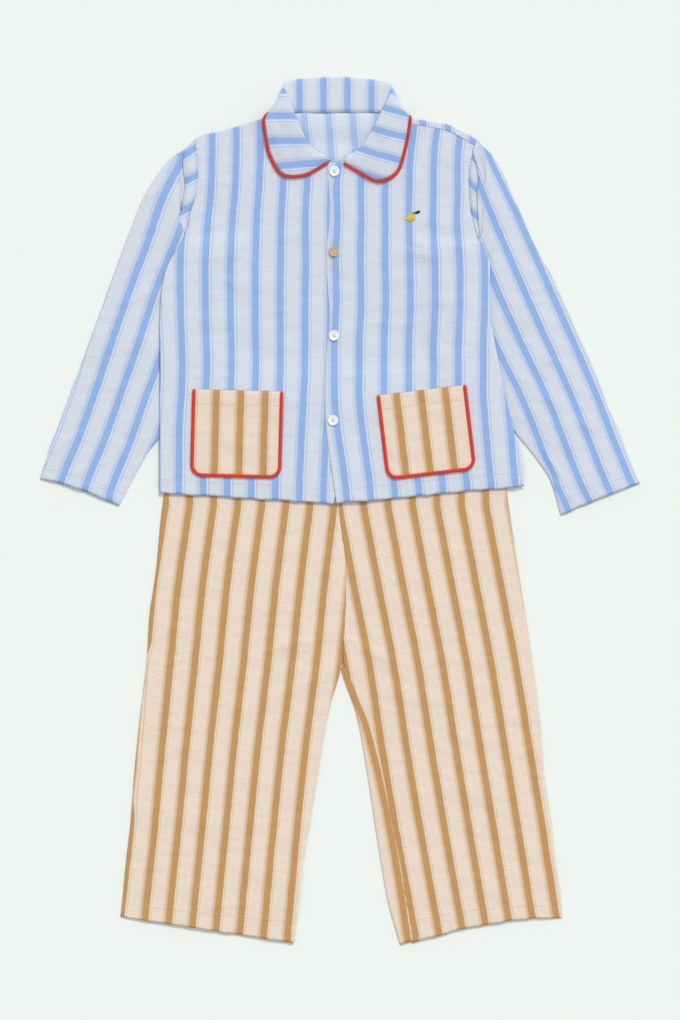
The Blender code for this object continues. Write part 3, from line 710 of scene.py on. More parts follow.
def height_on(tree, x, y, otherwise=None):
    """Height of the uppermost middle surface at this place."""
    spot, _, _, _ = tree.ray_cast(Vector((x, y, 1000)), Vector((0, 0, -1)))
    return spot.z if spot else otherwise


# Trousers


def leg_edges(rows, step):
    """The side edge, the inside edge, the loft and the wrap on closely spaced rows, and the row distances."""
    outer = np.array([(row.outer_x, row.outer_y) for row in rows], float)
    inner = np.array([(row.inner_x, row.inner_y) for row in rows], float)
    run = run_of((outer + inner) / 2)
    at = spread(run[-1], step)
    shape = flowing(at, run, [(row.loft, row.wrap) for row in rows])
    return flowing(at, run, outer), flowing(at, run, inner), shape[:, 0], shape[:, 1], run[-1] - at


def leg_flat(outer, inner, fractions):
    return outer[:, None] + (inner - outer)[:, None] * fractions[None, :, None]


def leg_grain(x, y):
    rows = GRAIN_LEG_LEFT if x.mean() > 0 else GRAIN_LEG_RIGHT
    return np.stack([grain_at(rows, x, y, TROUSER_PERIOD), y], axis=2)


def hem_bow(bow, fractions, hem, reach):
    """How far the middle of a hem stands back from its ends, less and less up to this reach."""
    return bow * 4 * fractions * (1 - fractions) * (1 - smoothstep(0, reach, hem))


def hem_waves(flat, hem, seed):
    """The small waves of a hem's edge, which die out above its stitches."""
    fade = 1 - smoothstep(0, 40, hem)
    return fade * 1.1 * noise(flat[..., 0] / 11, hem * 0 + 0.5, seed)


def leg_front(rows, wrap_side, seed, bow):
    outer, inner, loft, wrap, hem = leg_edges(rows, FINE)
    wrap = np.clip(wrap, 0, None) * wrap_side
    width = np.linalg.norm(outer - inner, axis=1)
    seam = inner + (outer - inner) * (wrap / width)[:, None]
    fractions = across_steps(np.median(width), FINE)
    flat = leg_flat(outer, seam, fractions)
    hem = np.repeat(hem[:, None], len(fractions), axis=1)
    flat[..., 1] += hem_bow(bow, fractions, hem, LEG_BOW_REACH)
    flat[..., 1] += hem_waves(flat, hem, seed)
    from_side = fractions * np.median(width)
    from_seam = (1 - fractions) * np.median(width)
    free = smoothstep(8, -45, flat[..., 1])
    x, y = flat[..., 0], flat[..., 1]
    grain = leg_grain(x, y)
    if wrap_side == 0:
        low, high = SEAM_TAKES
        taken = smoothstep(low, low + 40, y) * smoothstep(high + 30, high, y)
        grain[..., 0] += SEAM_TAKE * taken * np.exp(-from_side / 7)
    height = SECOND + LEG_LOFT * np.clip(loft, 0, 1)[:, None] * np.sin(np.pi * fractions)
    height += free * (crease_height(x, y, TROUSER_CREASES) + ripples(grain[..., 0], y, seed))
    height += free * 0.5 * noise(x / 60, y / 60, seed + 9)
    height -= 0.75 * np.exp(-from_side / 1.1) + 0.5 * np.exp(-from_seam / 1.3)
    height = np.maximum(height, SECOND - 0.75)
    return Grid(with_height(flat, height), grain, hem)


def leg_back(rows, step, seed, bow):
    outer, inner, _, _, hem = leg_edges(rows, step)
    reach = (inner - outer) / np.linalg.norm(inner - outer, axis=1)[:, None] * FOLD
    inner = inner - reach
    fractions = across_steps(np.median(np.linalg.norm(outer - inner, axis=1)), step)
    flat = leg_flat(outer, inner, fractions)
    hem = np.repeat(hem[:, None], len(fractions), axis=1)
    flat[..., 1] += hem_bow(bow, fractions, hem, LEG_BOW_REACH)
    flat[..., 1] += hem_waves(flat, hem, seed + 50) + 0.8 * (1 - smoothstep(0, 30, hem))
    x, y = flat[..., 0], flat[..., 1]
    height = np.full(x.shape, BOTTOM) + 0.25 * np.exp(-fractions * 250)
    return Grid(with_height(flat, height), leg_grain(x, y), hem)


def wrap_grid(back, rows, seed):
    """The strip of a leg's back that folds round the inside edge on to the front, from the crotch down."""
    _, _, _, wrap, hem = leg_edges(rows, FINE)
    edge = back.points[:, -1]
    below = edge[:, 1] < CROTCH_Y + 2
    edge, wrap, hem = edge[below], wrap[below], hem[below]
    inwards = back.points[below, -2, :2] - edge[:, :2]
    inwards /= np.linalg.norm(inwards, axis=1)[:, None]
    points = []
    for turn in np.radians((0, 45, 90, 135, 180)):
        spot = edge[:, :2] - inwards * FOLD * math.sin(turn)
        points.append(with_height(spot, np.full(len(edge), BOTTOM + FOLD - FOLD * math.cos(turn))))
    for share in np.linspace(0, 1, 9)[1:]:
        distance = share * (wrap + WRAP_OVERLAP)
        spot = edge[:, :2] + inwards * distance[:, None]
        lift = SECOND + 0.35 * np.sin(np.pi * share) + 0.4 * ripples(spot[:, 0] * 3, spot[:, 1], seed)
        points.append(with_height(spot, lift + 0.45 * share))
    points = np.stack(points, axis=1)
    x, y = points[..., 0], points[..., 1]
    grain = np.stack([grain_at(GRAIN_WRAP, x, y, TROUSER_PERIOD), y], axis=2)
    return Grid(points, grain, np.repeat(hem[:, None], x.shape[1], axis=1), turned=True)


def make_trousers():
    """The front and back of the right leg, then of the left one, whose back comes round its inside edge."""
    face, inside = "trouser_face", "trouser_inside"
    right_front = leg_front(LEG_RIGHT, 0, 11, 0)
    right_back = leg_back(LEG_RIGHT, COARSE, 12, 0)
    left_front = leg_front(LEG_LEFT, 1, 13, LEFT_LEG_BOW)
    left_back = leg_back(LEG_LEFT, FINE, 14, LEFT_LEG_BOW)
    left_wrap = wrap_grid(left_back, LEG_LEFT, 15)
    return (
        shell("front_of_right_leg", "trousers_front_right", [right_front], (face, inside)),
        shell("back_of_right_leg", "trousers_back_right", [right_back], (inside, face)),
        shell("front_of_left_leg", "trousers_front_left", [left_front], (face, inside)),
        shell("back_of_left_leg", "trousers_back_left", [left_back, left_wrap], (inside, face)),
    )


def make_waistband():
    """The casing at the waist, gathered by its elastic."""
    low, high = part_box("waistband")
    low, high = low / MM, high / MM
    xs = spread(high.x - low.x - 2 * FOLD, 4) + low.x + FOLD
    rows = []
    for y in spread(high.y - low.y, 4) + low.y:
        gathers = 0.28 * np.sin(xs / 2.3 + np.sin(xs / 17)) * np.sin(np.pi * (y - low.y) / (high.y - low.y))
        front = np.stack([xs, np.full_like(xs, y), SECOND + gathers], axis=1)
        back = np.stack([xs, np.full_like(xs, y), np.full_like(xs, BOTTOM)], axis=1)
        rows.append(ring(front, back))
    points = np.array(rows)
    return shell(
        "elastic_waistband", "waistband", [Grid(points, points[..., :2].copy(), closed=True)],
        ("trouser_face", "trouser_inside"),
    )


def ring(front, back):
    """A flattened ring: along the front layer, round a fold, back along the other layer, round a fold."""
    far = fold_arc(front[-2], front[-1], back[-1])
    near = fold_arc(front[1], front[0], back[0])[::-1]
    return np.concatenate([front, far, back[::-1], near])


def fold_arc(inner, upper, lower):
    """Three points round the outside of a fold, from the upper layer's end to the lower one's."""
    outwards = (upper - inner)[:2]
    outwards = np.append(outwards / max(np.linalg.norm(outwards), 1e-6), 0)
    radius = abs(upper[2] - lower[2]) / 2
    middle = (upper + lower) / 2
    arc = []
    for turn in np.radians((45, 90, 135)):
        arc.append(middle + outwards * FOLD * math.sin(turn) + np.array((0, 0, radius)) * math.cos(turn))
    return np.array(arc)


# Jacket body


def neck_point(side, angle):
    turn = math.radians(angle)
    return (
        NECK_CENTRE[0] + side * NECK_HALF_WIDTH * math.cos(turn),
        NECK_CENTRE[1] - NECK_DEPTH * math.sin(turn),
    )


def side_point(row, side):
    return (row.right_x, row.right_y) if side < 0 else (row.left_x, row.left_y)


def side_points(row):
    return (*side_point(row, -1), *side_point(row, 1))


def dense_rows(parts, step):
    """Rows between the sections of each part of a panel, where a part ends at a corner of the outline."""
    values = []
    for part in parts:
        part = np.asarray(part, float)
        run = run_of((part[:, 0:2] + part[:, 2:4]) / 2)
        rows = flowing(spread(run[-1], step), run, part)
        values.append(rows if not values else rows[1:])
    return np.concatenate(values)


def body_heights(distance, side_lift, mid_lift):
    return side_lift + (mid_lift - side_lift) * smoothstep(*SIDE_REACH, distance)


def front_grid(side, step, seed):
    """One front, from its side edge to its placket or neck edge; the wearer's left one (side 1) laps over."""
    laps_over = side > 0
    body = []
    for row in BODY:
        end = (row.lap_x if laps_over else row.under_x, row.mid_y)
        body.append((*side_point(row, side), *end, row.side_lift, row.mid_lift, 1))
    neck = [body[-1]]
    for row, angle in zip(NECK, NECK_ANGLES):
        end = neck_point(side, angle)
        neck.append((*side_point(row, side), *end, 0, row.front_lift, angle == NECK_ANGLES[0]))
    rows = dense_rows((body, neck), step)
    start, end, side_lift, mid_lift, lap = rows[:, 0:2], rows[:, 2:4], rows[:, 4], rows[:, 5], rows[:, 6]
    width = np.linalg.norm(end - start, axis=1)
    fractions = across_steps(np.median(width), step)
    flat = start[:, None] + (end - start)[:, None] * fractions[None, :, None]
    from_side = width[:, None] * fractions
    from_edge = width[:, None] * (1 - fractions)
    hem = flat[..., 1] - flat[:1, :, 1]
    flat[..., 1] += hem_waves(flat, hem, seed)
    x, y = flat[..., 0], flat[..., 1]
    grain_rows = GRAIN_FRONT_LEFT if laps_over else GRAIN_FRONT_RIGHT
    grain = np.stack([grain_at(grain_rows, x, y, JACKET_PERIOD), y], axis=2)
    height = SECOND + body_heights(from_side, side_lift[:, None], mid_lift[:, None])
    if laps_over:
        height += PLY * np.clip(lap, 0, 1)[:, None] * smoothstep(*LAP_REACH, from_edge)
    loose = smoothstep(0, 30, from_side) * smoothstep(0, 25, from_edge)
    height += crease_height(x, y, JACKET_CREASES) * (0.25 + 0.75 * loose)
    height += 0.35 + ripples(grain[..., 0], y, seed) * smoothstep(0, 8, from_edge)
    height += 0.5 * loose * (1 + noise(x / 55, y / 45, seed + 9))
    height += 0.45 * puckers(from_side, y, seed) * smoothstep(325, 345, y)
    height -= 0.7 * np.exp(-from_side / 1.1)
    edge_roll = 0.35 * np.exp(-((from_edge - 2.4) / 1.6) ** 2) - 0.6 * np.exp(-from_edge / 0.9)
    height += edge_roll if laps_over else 0
    height -= 0.5 * np.exp(-hem / 1.2)
    return Grid(with_height(flat, height), grain, hem)


def puckers(distance, along, seed):
    """Short gathers beside a seam."""
    return np.exp(-distance / 7) * noise(distance / 9, along / 4.4, seed + 20)


def back_grid(step):
    """The back of the jacket, inside up, from the wearer's right side seam to the left one."""
    body = [(*side_points(row), row.mid_y, row.side_lift, row.mid_lift, 0) for row in BODY[:-1]]
    placket = (*side_points(BODY[-1]), BACK_PLACKET_Y, 0, 0, NECK_HALF_WIDTH)
    neck = [placket]
    neck += [(*side_points(row), row.back_y, 0, row.back_lift, NECK_HALF_WIDTH) for row in NECK]
    rows = dense_rows((body + [placket], neck), step)
    right_x, right_y, left_x, left_y, mid_y, side_lift, mid_lift, level = rows.T[..., None]
    fractions = across_steps(np.median(left_x - right_x), step)
    x = right_x + (left_x - right_x) * fractions
    aside = np.abs(x - NECK_CENTRE[0]) - level
    on_right = x < NECK_CENTRE[0]
    room = np.where(on_right, NECK_CENTRE[0] - right_x, left_x - NECK_CENTRE[0]) - level
    side_y = np.where(on_right, right_y, left_y)
    y = mid_y + (side_y - mid_y) * np.clip(aside / room, 0, 1)
    from_side = np.minimum(x - right_x, left_x - x)
    height = BOTTOM + body_heights(from_side, side_lift, mid_lift)
    height += 0.3 * np.exp(-from_side / 1.1)
    shown = smoothstep(418, 432, y) * smoothstep(90, 60, np.abs(x - NECK_CENTRE[0]))
    height += shown * (0.5 + ripples(x, y, 31) + 0.6 * noise(x / 30, y / 30, 35))
    height = np.maximum(height, BOTTOM - 0.2)
    grain = np.stack([grain_at(GRAIN_BACK, x, y, JACKET_PERIOD), y], axis=2)
    return Grid(np.stack([x, y, height], axis=2), grain, y - y[:1])


def shoulder_band(back):
    """The strip of the back that folds over the wearer's left shoulder, down to the seam on the front."""
    row = back.points[-1]
    band = row[row[:, 0] > neck_point(1, 0)[0] + 1]
    run = band[-1, :2] - band[0, :2]
    run /= np.linalg.norm(run)
    inwards = np.array((run[1], -run[0]))
    turns = np.radians((0, 45, 90, 135, 180))
    columns = [(-BAND_ROLL * math.sin(turn), (1 - math.cos(turn)) / 2) for turn in turns]
    columns += [(BAND_WIDTH * share, 1) for share in (0.25, 0.5, 0.75, 0.92, 1)]
    rows = []
    for aside, rise in columns:
        spot = band.copy()
        spot[:, :2] += inwards * aside
        top = np.array([height_on(fronts_tree, x, y - 2, SECOND) for x, y in spot[:, :2]]) + 0.9
        spot[:, 2] += (top - spot[:, 2]) * rise
        rows.append(spot)
    points = np.array(rows)
    points[-1, :, 2] -= 0.45
    x, y = points[..., 0], points[..., 1]
    grain = np.stack([grain_at(GRAIN_BACK, x + BAND_SHIFT, y, JACKET_PERIOD), y], axis=2)
    return Grid(points, grain, turned=True)


def make_body():
    looks = ("jacket_face", "jacket_inside")
    right = shell("right_front", "jacket_front_right", [front_grid(-1, FINE, 21)], looks)
    left = shell("left_front", "jacket_front_left", [front_grid(1, FINE, 23)], looks)
    return right, left


def make_back():
    back = back_grid(COARSE / 2)
    grids = [back, shoulder_band(back)]
    shell("back_of_jacket", "jacket_back", grids, ("jacket_inside", "jacket_face"))


# Sleeves: a strip stays beside the armhole, and the pleat along it folds the sleeve over or under that strip


def outside_body(x, y):
    """One for cloth beside the jacket's body, and nothing for cloth under it."""
    heights = [row.right_y for row in BODY]
    right = np.interp(y, heights, [row.right_x for row in BODY])
    left = np.interp(y, heights, [row.left_x for row in BODY])
    beside = np.maximum(right - x, x - left)
    return np.where(y > BODY[ARMPIT_ROW].right_y, 1, smoothstep(-4, 10, beside))


def resampled(points, fractions):
    points = np.array(points, float)
    run = run_of(points)
    return flowing(fractions * run[-1], run, points)


def strip_rows(side, seam, pleat, fractions):
    """Rows of points from the seam over the pleat to the start of the sleeve proper, each with its height."""
    shifts = SLEEVE_OVER_STRIP if side > 0 else SLEEVE_UNDER_STRIP
    open_share = 0.05 + 0.95 * smoothstep(0, 0.1, fractions) * smoothstep(0.98, 0.8, fractions)
    rows = [(seam, 0), ((seam + pleat) / 2, shifts[0].height / 2)]
    for shift in shifts:
        aside = np.stack([side * shift.outwards * open_share, np.zeros_like(fractions)], axis=1)
        rows.append((pleat + aside, shift.height))
    return rows


def sleeve_proper(rings, fractions, strip_end):
    """The sleeve from its head to its cuff, after one more row that leads over from the strip."""
    ends = np.array(rings, float)
    run = run_of((ends[:, :2] + ends[:, 2:]) / 2)
    head = ends[0, :2] + (ends[0, 2:] - ends[0, :2]) * fractions[:, None]
    ends = flowing(spread(run[-1], FINE)[1:], run, ends)
    rows = ends[:, None, :2] + (ends[:, 2:] - ends[:, :2])[:, None] * fractions[None, :, None]
    lead = head + (strip_end - head) * SLEEVE_LEAD
    return np.concatenate([lead[None], head[None], rows])


def sleeve_grain(side, grain_rows, x, y, hem, fractions):
    """Across and along the stripes of the sleeve, with those of its strip on the first rows."""
    across = grain_at(grain_rows, x, y, JACKET_PERIOD)
    if side < 0:
        across += SLEEVE_EDGE_TAKE * np.exp(-fractions * SLEEVE_WIDTH / 10)
    else:
        beside_fold = np.exp(-(1 - fractions) * SLEEVE_WIDTH / 22)
        across -= CUFF_FOLD_TAKE * np.exp(-((y - CUFF_FOLD_Y) / 20) ** 2) * beside_fold
    on_strip = np.arange(len(x))[:, None] < STRIP_GRAIN_ROWS
    strip = slant_number(STRIP_STRIPES[side > 0], x, y) * JACKET_PERIOD
    return np.where(on_strip, strip, across), np.where(on_strip, x * side, SLEEVE_LENGTH - hem)


def sleeve_height(strip, front, fractions, across, hem, seed):
    """Height of the upper layer: the folds of the strip, then loft, creases and ripples."""
    x, y = front[..., 0], front[..., 1]
    count = len(strip)
    height = np.full(x.shape, float(SECOND))
    for index, (_, rise) in enumerate(strip):
        height[index] += rise * smoothstep(0, 0.05, fractions) * smoothstep(1, 0.95, fractions)
    away = np.linalg.norm(front - front[count - 1], axis=2)
    settle = strip[-1][1] * np.exp(-away / 9)
    height[count:] += (settle * np.sin(np.pi * fractions) ** 0.3)[count:]
    body = np.sin(np.pi * fractions) ** 0.7
    loose = outside_body(x, y) * smoothstep(0, 22, away)
    loose[:count] = 0
    rise = SLEEVE_LOFT * (1 + 0.35 * noise(x / 34, y / 34, seed + 7)) * body
    rise += crease_height(x, y, SLEEVE_CREASES) * np.minimum(1, body * 1.6)
    rise += ripples(across, y, seed) + 0.4 * puckers(away, y, seed)
    height += rise * loose
    height[count:] = np.maximum(height[count:], BOTTOM + 0.9)
    height[count:] -= (0.6 * np.exp(-hem / 1.3))[count:]
    return height


def round_the_ring(values, keep, at_far_fold, at_near_fold):
    """One row of values for a ring: the upper layer's, a fold's, the lower layer's and the other fold's."""
    return np.concatenate([values, np.full(3, at_far_fold), values[keep][::-1], np.full(3, at_near_fold)])


def make_sleeve(name, node, side, rings, pleat, grain_rows, seed):
    fractions = across_steps(SLEEVE_WIDTH, FINE)
    armhole = [side_point(row, side) for row in BODY[ARMPIT_ROW:] + NECK][::-1]
    seam = resampled(armhole, fractions)
    strip = strip_rows(side, seam, resampled(pleat, fractions), fractions)
    count = len(strip)
    proper = sleeve_proper(rings, fractions, strip[-1][0])
    front = np.concatenate([np.array([row for row, _ in strip]), proper])
    run = run_of((proper[:, 0] + proper[:, -1]) / 2)
    hem = np.concatenate([np.full(count, NO_HEM), run[-1] - run])
    hem = np.repeat(hem[:, None], len(fractions), axis=1)
    bow = hem_bow(CUFF_BOW[side > 0], fractions, hem, CUFF_BOW_REACH)
    front[..., 1] += bow + hem_waves(front, hem, seed)
    x, y = front[..., 0], front[..., 1]
    across, along = sleeve_grain(side, grain_rows, x, y, hem, fractions)
    height = sleeve_height(strip, front, fractions, across, hem, seed)
    back_share = np.linspace(0, 1, count + 1)[:-1, None, None]
    back = np.concatenate([seam + (proper[0] - seam) * back_share, proper])
    back[count:, :, 1] += BACK_BOW_SHARE * bow[count:]
    keep = np.linspace(0, len(fractions) - 1, int(SLEEVE_WIDTH / COARSE) + 1).astype(int)
    rows = []
    grains = []
    hems = []
    for index in range(len(front)):
        upper = np.column_stack([front[index], height[index]])
        lower = np.column_stack([back[index, keep], np.full(len(keep), BOTTOM)])
        rows.append(ring(upper, lower))
        flat_u = round_the_ring(across[index], keep, across[index, -1] + 1, across[index, 0] - 1)
        flat_v = round_the_ring(along[index], keep, along[index, -1], along[index, 0])
        grains.append(np.column_stack([flat_u, flat_v]))
        hems.append(np.full(len(flat_u), hem[index, 0]))
    grid = Grid(np.array(rows), np.array(grains), np.array(hems), closed=True)
    return shell(name, node, [grid], ("sleeve_face", "jacket_inside"))


# Collar


def neck_seam(side, count):
    """The collar's seam points for this many stations, from the front end backwards."""
    laps = PLY if side > 0 else 0
    last = BODY[-1]
    ends = [np.array((last.lap_x if side > 0 else last.under_x, last.mid_y, SECOND + laps))]
    for row, angle in zip(NECK, NECK_ANGLES):
        lap = laps if angle == NECK_ANGLES[0] else 0
        ends.append(np.array((*neck_point(side, angle), SECOND + row.front_lift + lap)))
    ends[0] = ends[0] + (ends[1] - ends[0]) * 0.45
    shoulder = ends[SHOULDER_STATION] + np.array((0, NECK_SEAM_Y - ends[SHOULDER_STATION][1], 0))
    points = ends[:SHOULDER_STATION] + [shoulder]
    reach = len(COLLAR_RIGHT) - 1 - SHOULDER_STATION
    back_z = BOTTOM + NECK[-1].back_lift + 0.9
    for step in range(1, count - SHOULDER_STATION):
        x = shoulder[0] + (NECK_CENTRE[0] - shoulder[0]) * (step / reach) ** 1.6
        z = shoulder[2] + (back_z - shoulder[2]) * min(1, step / 3)
        points.append(np.array((x, NECK_SEAM_Y, z)))
    return points


def collar_rows():
    """The seam, roll, edge and way out on closely spaced stations, with their number in the table."""
    rows = []
    for side, stations in ((-1, COLLAR_RIGHT), (1, COLLAR_LEFT)):
        half = []
        for index, (neck, station) in enumerate(zip(neck_seam(side, len(stations)), stations)):
            edge_z = station.edge_z
            if edge_z is None:
                edge_z = height_on(fronts_tree, station.edge_x, station.edge_y, SECOND) + 1.3
            roll = (station.roll_x, station.roll_y, station.roll_z)
            out = (station.out_x, station.out_y, station.out_z)
            half.append((*neck, *roll, station.edge_x, station.edge_y, edge_z, *out, index, side))
        rows += half if side < 0 else half[::-1]
    rows = np.array(rows)
    run = run_of(rows[:, 3:6]) * 0.5 + run_of(rows[:, 6:9]) * 0.5
    return flowing(spread(run[-1], COLLAR_STEP), run, rows)


def collar_section(neck, roll, edge, out):
    """From the seam up the stand, round the roll and down the fall to the piping."""
    out = out / np.linalg.norm(out)
    stand_top = roll - out * COLLAR_ROLL
    fall_top = roll + out * COLLAR_ROLL
    fall_top[2] = max(fall_top[2], BOTTOM)
    away = (roll - edge) * (1, 1, 0)
    away /= np.linalg.norm(away)
    section = [neck + (stand_top - neck) * share for share in (0, 0.17, 0.34, 0.5, 0.67, 0.84, 1)]
    for turn in np.radians((40, 90, 140)):
        section.append(roll - out * COLLAR_ROLL * math.cos(turn) + away * COLLAR_ROLL * math.sin(turn))
    arch = np.array((out[0], out[1], max(out[2], 0))) * COLLAR_ARCH
    for share in np.linspace(0, 1, FALL_ROWS):
        point = fall_top + (edge - fall_top) * share + arch * 4 * share * (1 - share)
        point[2] = max(point[2], BOTTOM)
        below = height_on(fronts_tree, point[0], point[1])
        if below is not None and out[2] > 0:
            point[2] = max(point[2], below + 1.2)
        section.append(point)
    return np.array(section)


def collar_number(x, y, station, on_right):
    """Number of the stripe at each point: one count for each side of the fall, and one behind the neck."""
    bend = COLLAR_BEND * smoothstep(*COLLAR_BEND_REACH, y) * (x - COLLAR_BEND_X)
    right = slant_number(COLLAR_STRIPES_RIGHT, x, y - bend)
    left = slant_number(COLLAR_STRIPES_LEFT, x, y)
    behind = COLLAR_BEHIND_FIRST + (x - COLLAR_BEHIND_X) / COLLAR_BEHIND_PERIOD
    front_part = smoothstep(*COLLAR_FRONT_STATIONS, station)
    return behind + (np.where(on_right, right, left) - behind) * front_part


def make_collar():
    rows = collar_rows()
    points = np.array([collar_section(row[:3], row[3:6], row[6:9], row[9:12]) for row in rows])
    station = rows[:, 12, None]
    number = collar_number(points[..., 0], points[..., 1], station, rows[:, 13, None] < 0)
    down = np.cumsum(np.linalg.norm(np.diff(points, axis=1, prepend=points[:, :1]), axis=2), axis=1)
    grain = np.stack([number * JACKET_PERIOD, down], axis=2)
    fall = smoothstep(0, 5, np.arange(points.shape[1]) - STAND_ROWS)[None]
    soft = noise(station * 1.3, down / 14, 41) * 0.7 + ripples(number * JACKET_PERIOD, down, 42) * 0.8
    points[..., 2] += soft * smoothstep(0, 14, down[:, -1:] - down) * (0.4 + 0.6 * fall)
    points[..., 2] = np.maximum(points[..., 2], BOTTOM)
    shell("turned_collar", "collar", [Grid(points, grain)], ("collar_face", "jacket_inside"), COLLAR_WALL)
    return points


def collar_piping_path(points):
    """The piping's middle line, outside the fall's edge and on what lies below."""
    edge = points[:, -1]
    outwards = edge - points[:, -3]
    run = np.gradient(edge, axis=0)
    run /= np.linalg.norm(run, axis=1)[:, None]
    outwards -= run * (outwards * run).sum(axis=1)[:, None]
    outwards /= np.linalg.norm(outwards, axis=1)[:, None]
    path = edge + outwards * (PIPING_RADIUS - 0.2)
    for point in path:
        below = height_on(fronts_tree, point[0], point[1])
        if point[2] > SECOND and below is not None:
            point[2] = below + 0.2 + PIPING_RADIUS
        point[2] = max(point[2], PIPING_RADIUS)
    return path


# Round cords and other plain solids


def plain_mesh(name, parts, look):
    """One object from parts, each of them its points, its faces and a map of its surface in millimetres."""
    faces = []
    count = 0
    for points, part_faces, _ in parts:
        faces += [[count + index for index in face] for face in part_faces]
        count += len(points)
    points = np.concatenate([points for points, _, _ in parts])
    grain = np.concatenate([grain for _, _, grain in parts])
    piece = new_piece(name, points, faces, grain, [plain_looks[look]])
    return piece


def ring_faces(rings, sides):
    """Faces between rings of points, with a face over each end."""
    faces = []
    for start in range(0, (rings - 1) * sides, sides):
        for side in range(sides):
            after = (side + 1) % sides
            faces.append([start + side, start + after, start + sides + after, start + sides + side])
    last = (rings - 1) * sides
    return faces + [list(range(sides))[::-1], [last + side for side in range(sides)]]


def tube_part(path, radius, sides):
    """A round cord along a path, narrower at its two ends."""
    path = np.asarray(path, float)
    tangent = np.gradient(path, axis=0)
    tangent /= np.linalg.norm(tangent, axis=1)[:, None]
    aside = np.cross(tangent, (0, 0, 1))
    aside /= np.linalg.norm(aside, axis=1)[:, None]
    up = np.cross(aside, tangent)
    girth = np.full(len(path), float(radius))
    girth[[0, -1]] *= CORD_END
    turns = np.linspace(0, 2 * np.pi, sides, endpoint=False)
    circle = aside[:, None] * np.cos(turns)[None, :, None] + up[:, None] * np.sin(turns)[None, :, None]
    points = path[:, None] + girth[:, None, None] * circle
    grain = np.stack(np.broadcast_arrays(turns[None] * radius, run_of(path)[:, None]), axis=2)
    return points.reshape(-1, 3), ring_faces(len(path), sides), grain.reshape(-1, 2)


def make_piping(name, node, path, radius, look):
    piece = plain_mesh(name, [tube_part(path, radius, 14)], look)
    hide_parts(node)


# Pockets


def pocket_frame(pocket):
    turn = math.radians(pocket.tilt)
    across = np.array((math.cos(turn), math.sin(turn)))
    up = np.array((-math.sin(turn), math.cos(turn)))
    return np.array((pocket.x, pocket.y)), across, up


def pocket_outline(pocket, inset, step):
    """Half widths and heights from the mouth to the foot, with the foot's corners rounded."""
    half = pocket.width / 2 - inset
    top = pocket.height / 2
    foot = inset - top
    corner = POCKET_CORNER - inset
    rows = [(half, top - down) for down in spread(top - foot - corner, step)]
    for turn in np.radians(np.linspace(0, 90, 9))[1:]:
        rows.append((half - corner * (1 - math.cos(turn)), foot + corner * (1 - math.sin(turn))))
    return np.array(rows)


def make_pocket(pocket, seed):
    centre, across, up = pocket_frame(pocket)
    outline = pocket_outline(pocket, 2 * POCKET_PIPING_RADIUS - 1, FINE)
    fractions = across_steps(pocket.width, FINE) * 2 - 1
    local_x = outline[:, :1] * fractions
    local_y = np.repeat(outline[:, 1:], len(fractions), axis=1)
    flat = centre + local_x[..., None] * across + local_y[..., None] * up
    below = np.array([[height_on(fronts_tree, x, y, SECOND) for x, y in row] for row in flat])
    from_mouth = pocket.height / 2 - local_y
    inwards = np.minimum(outline[:, :1] - np.abs(local_x), local_y + pocket.height / 2)
    open_mouth = smoothstep(34, 0, from_mouth) * smoothstep(0, 40, inwards)
    soft = 0.3 + ripples(local_x, local_y, seed) + 0.3 * noise(flat[..., 0] / 30, flat[..., 1] / 30, seed)
    height = below + 0.9 + 1.1 * open_mouth + soft * smoothstep(0, 9, inwards)
    height -= 0.4 * np.exp(-from_mouth / 1.2)
    height = np.maximum(height, below + 0.6)
    grain = np.stack([local_x - pocket.first_stripe, local_y], axis=2)
    grid = Grid(with_height(flat, height), grain, from_mouth)
    name = f"pocket_{pocket.name}"
    piece = shell(f"patch_{name}", name, [grid], ("pocket_face", "trouser_inside"))
    half_path = pocket_outline(pocket, POCKET_PIPING_RADIUS, 3)
    points = []
    for aside, rise in np.concatenate([half_path * (-1, 1), half_path[::-1]]):
        spot = centre + across * aside + up * rise
        points.append((*spot, height_on(fronts_tree, *spot, SECOND) + PIPING_RADIUS))
    cord_name = f"pocket_piping_{pocket.name}"
    make_piping(f"red_edge_{name}", cord_name, points, POCKET_PIPING_RADIUS, "pocket_piping")
    return piece


# Buttons


def lathe_part(centre, profile, sides):
    """A turned solid from the radii and heights of its profile."""
    turns = np.linspace(0, 2 * np.pi, sides, endpoint=False)
    radii, heights = np.array(profile).T[..., None]
    spots = (centre[0] + radii * np.cos(turns), centre[1] + radii * np.sin(turns), centre[2] + heights)
    points = np.stack(np.broadcast_arrays(*spots), axis=2)
    return points.reshape(-1, 3), ring_faces(len(profile), sides), points[..., :2].reshape(-1, 2)


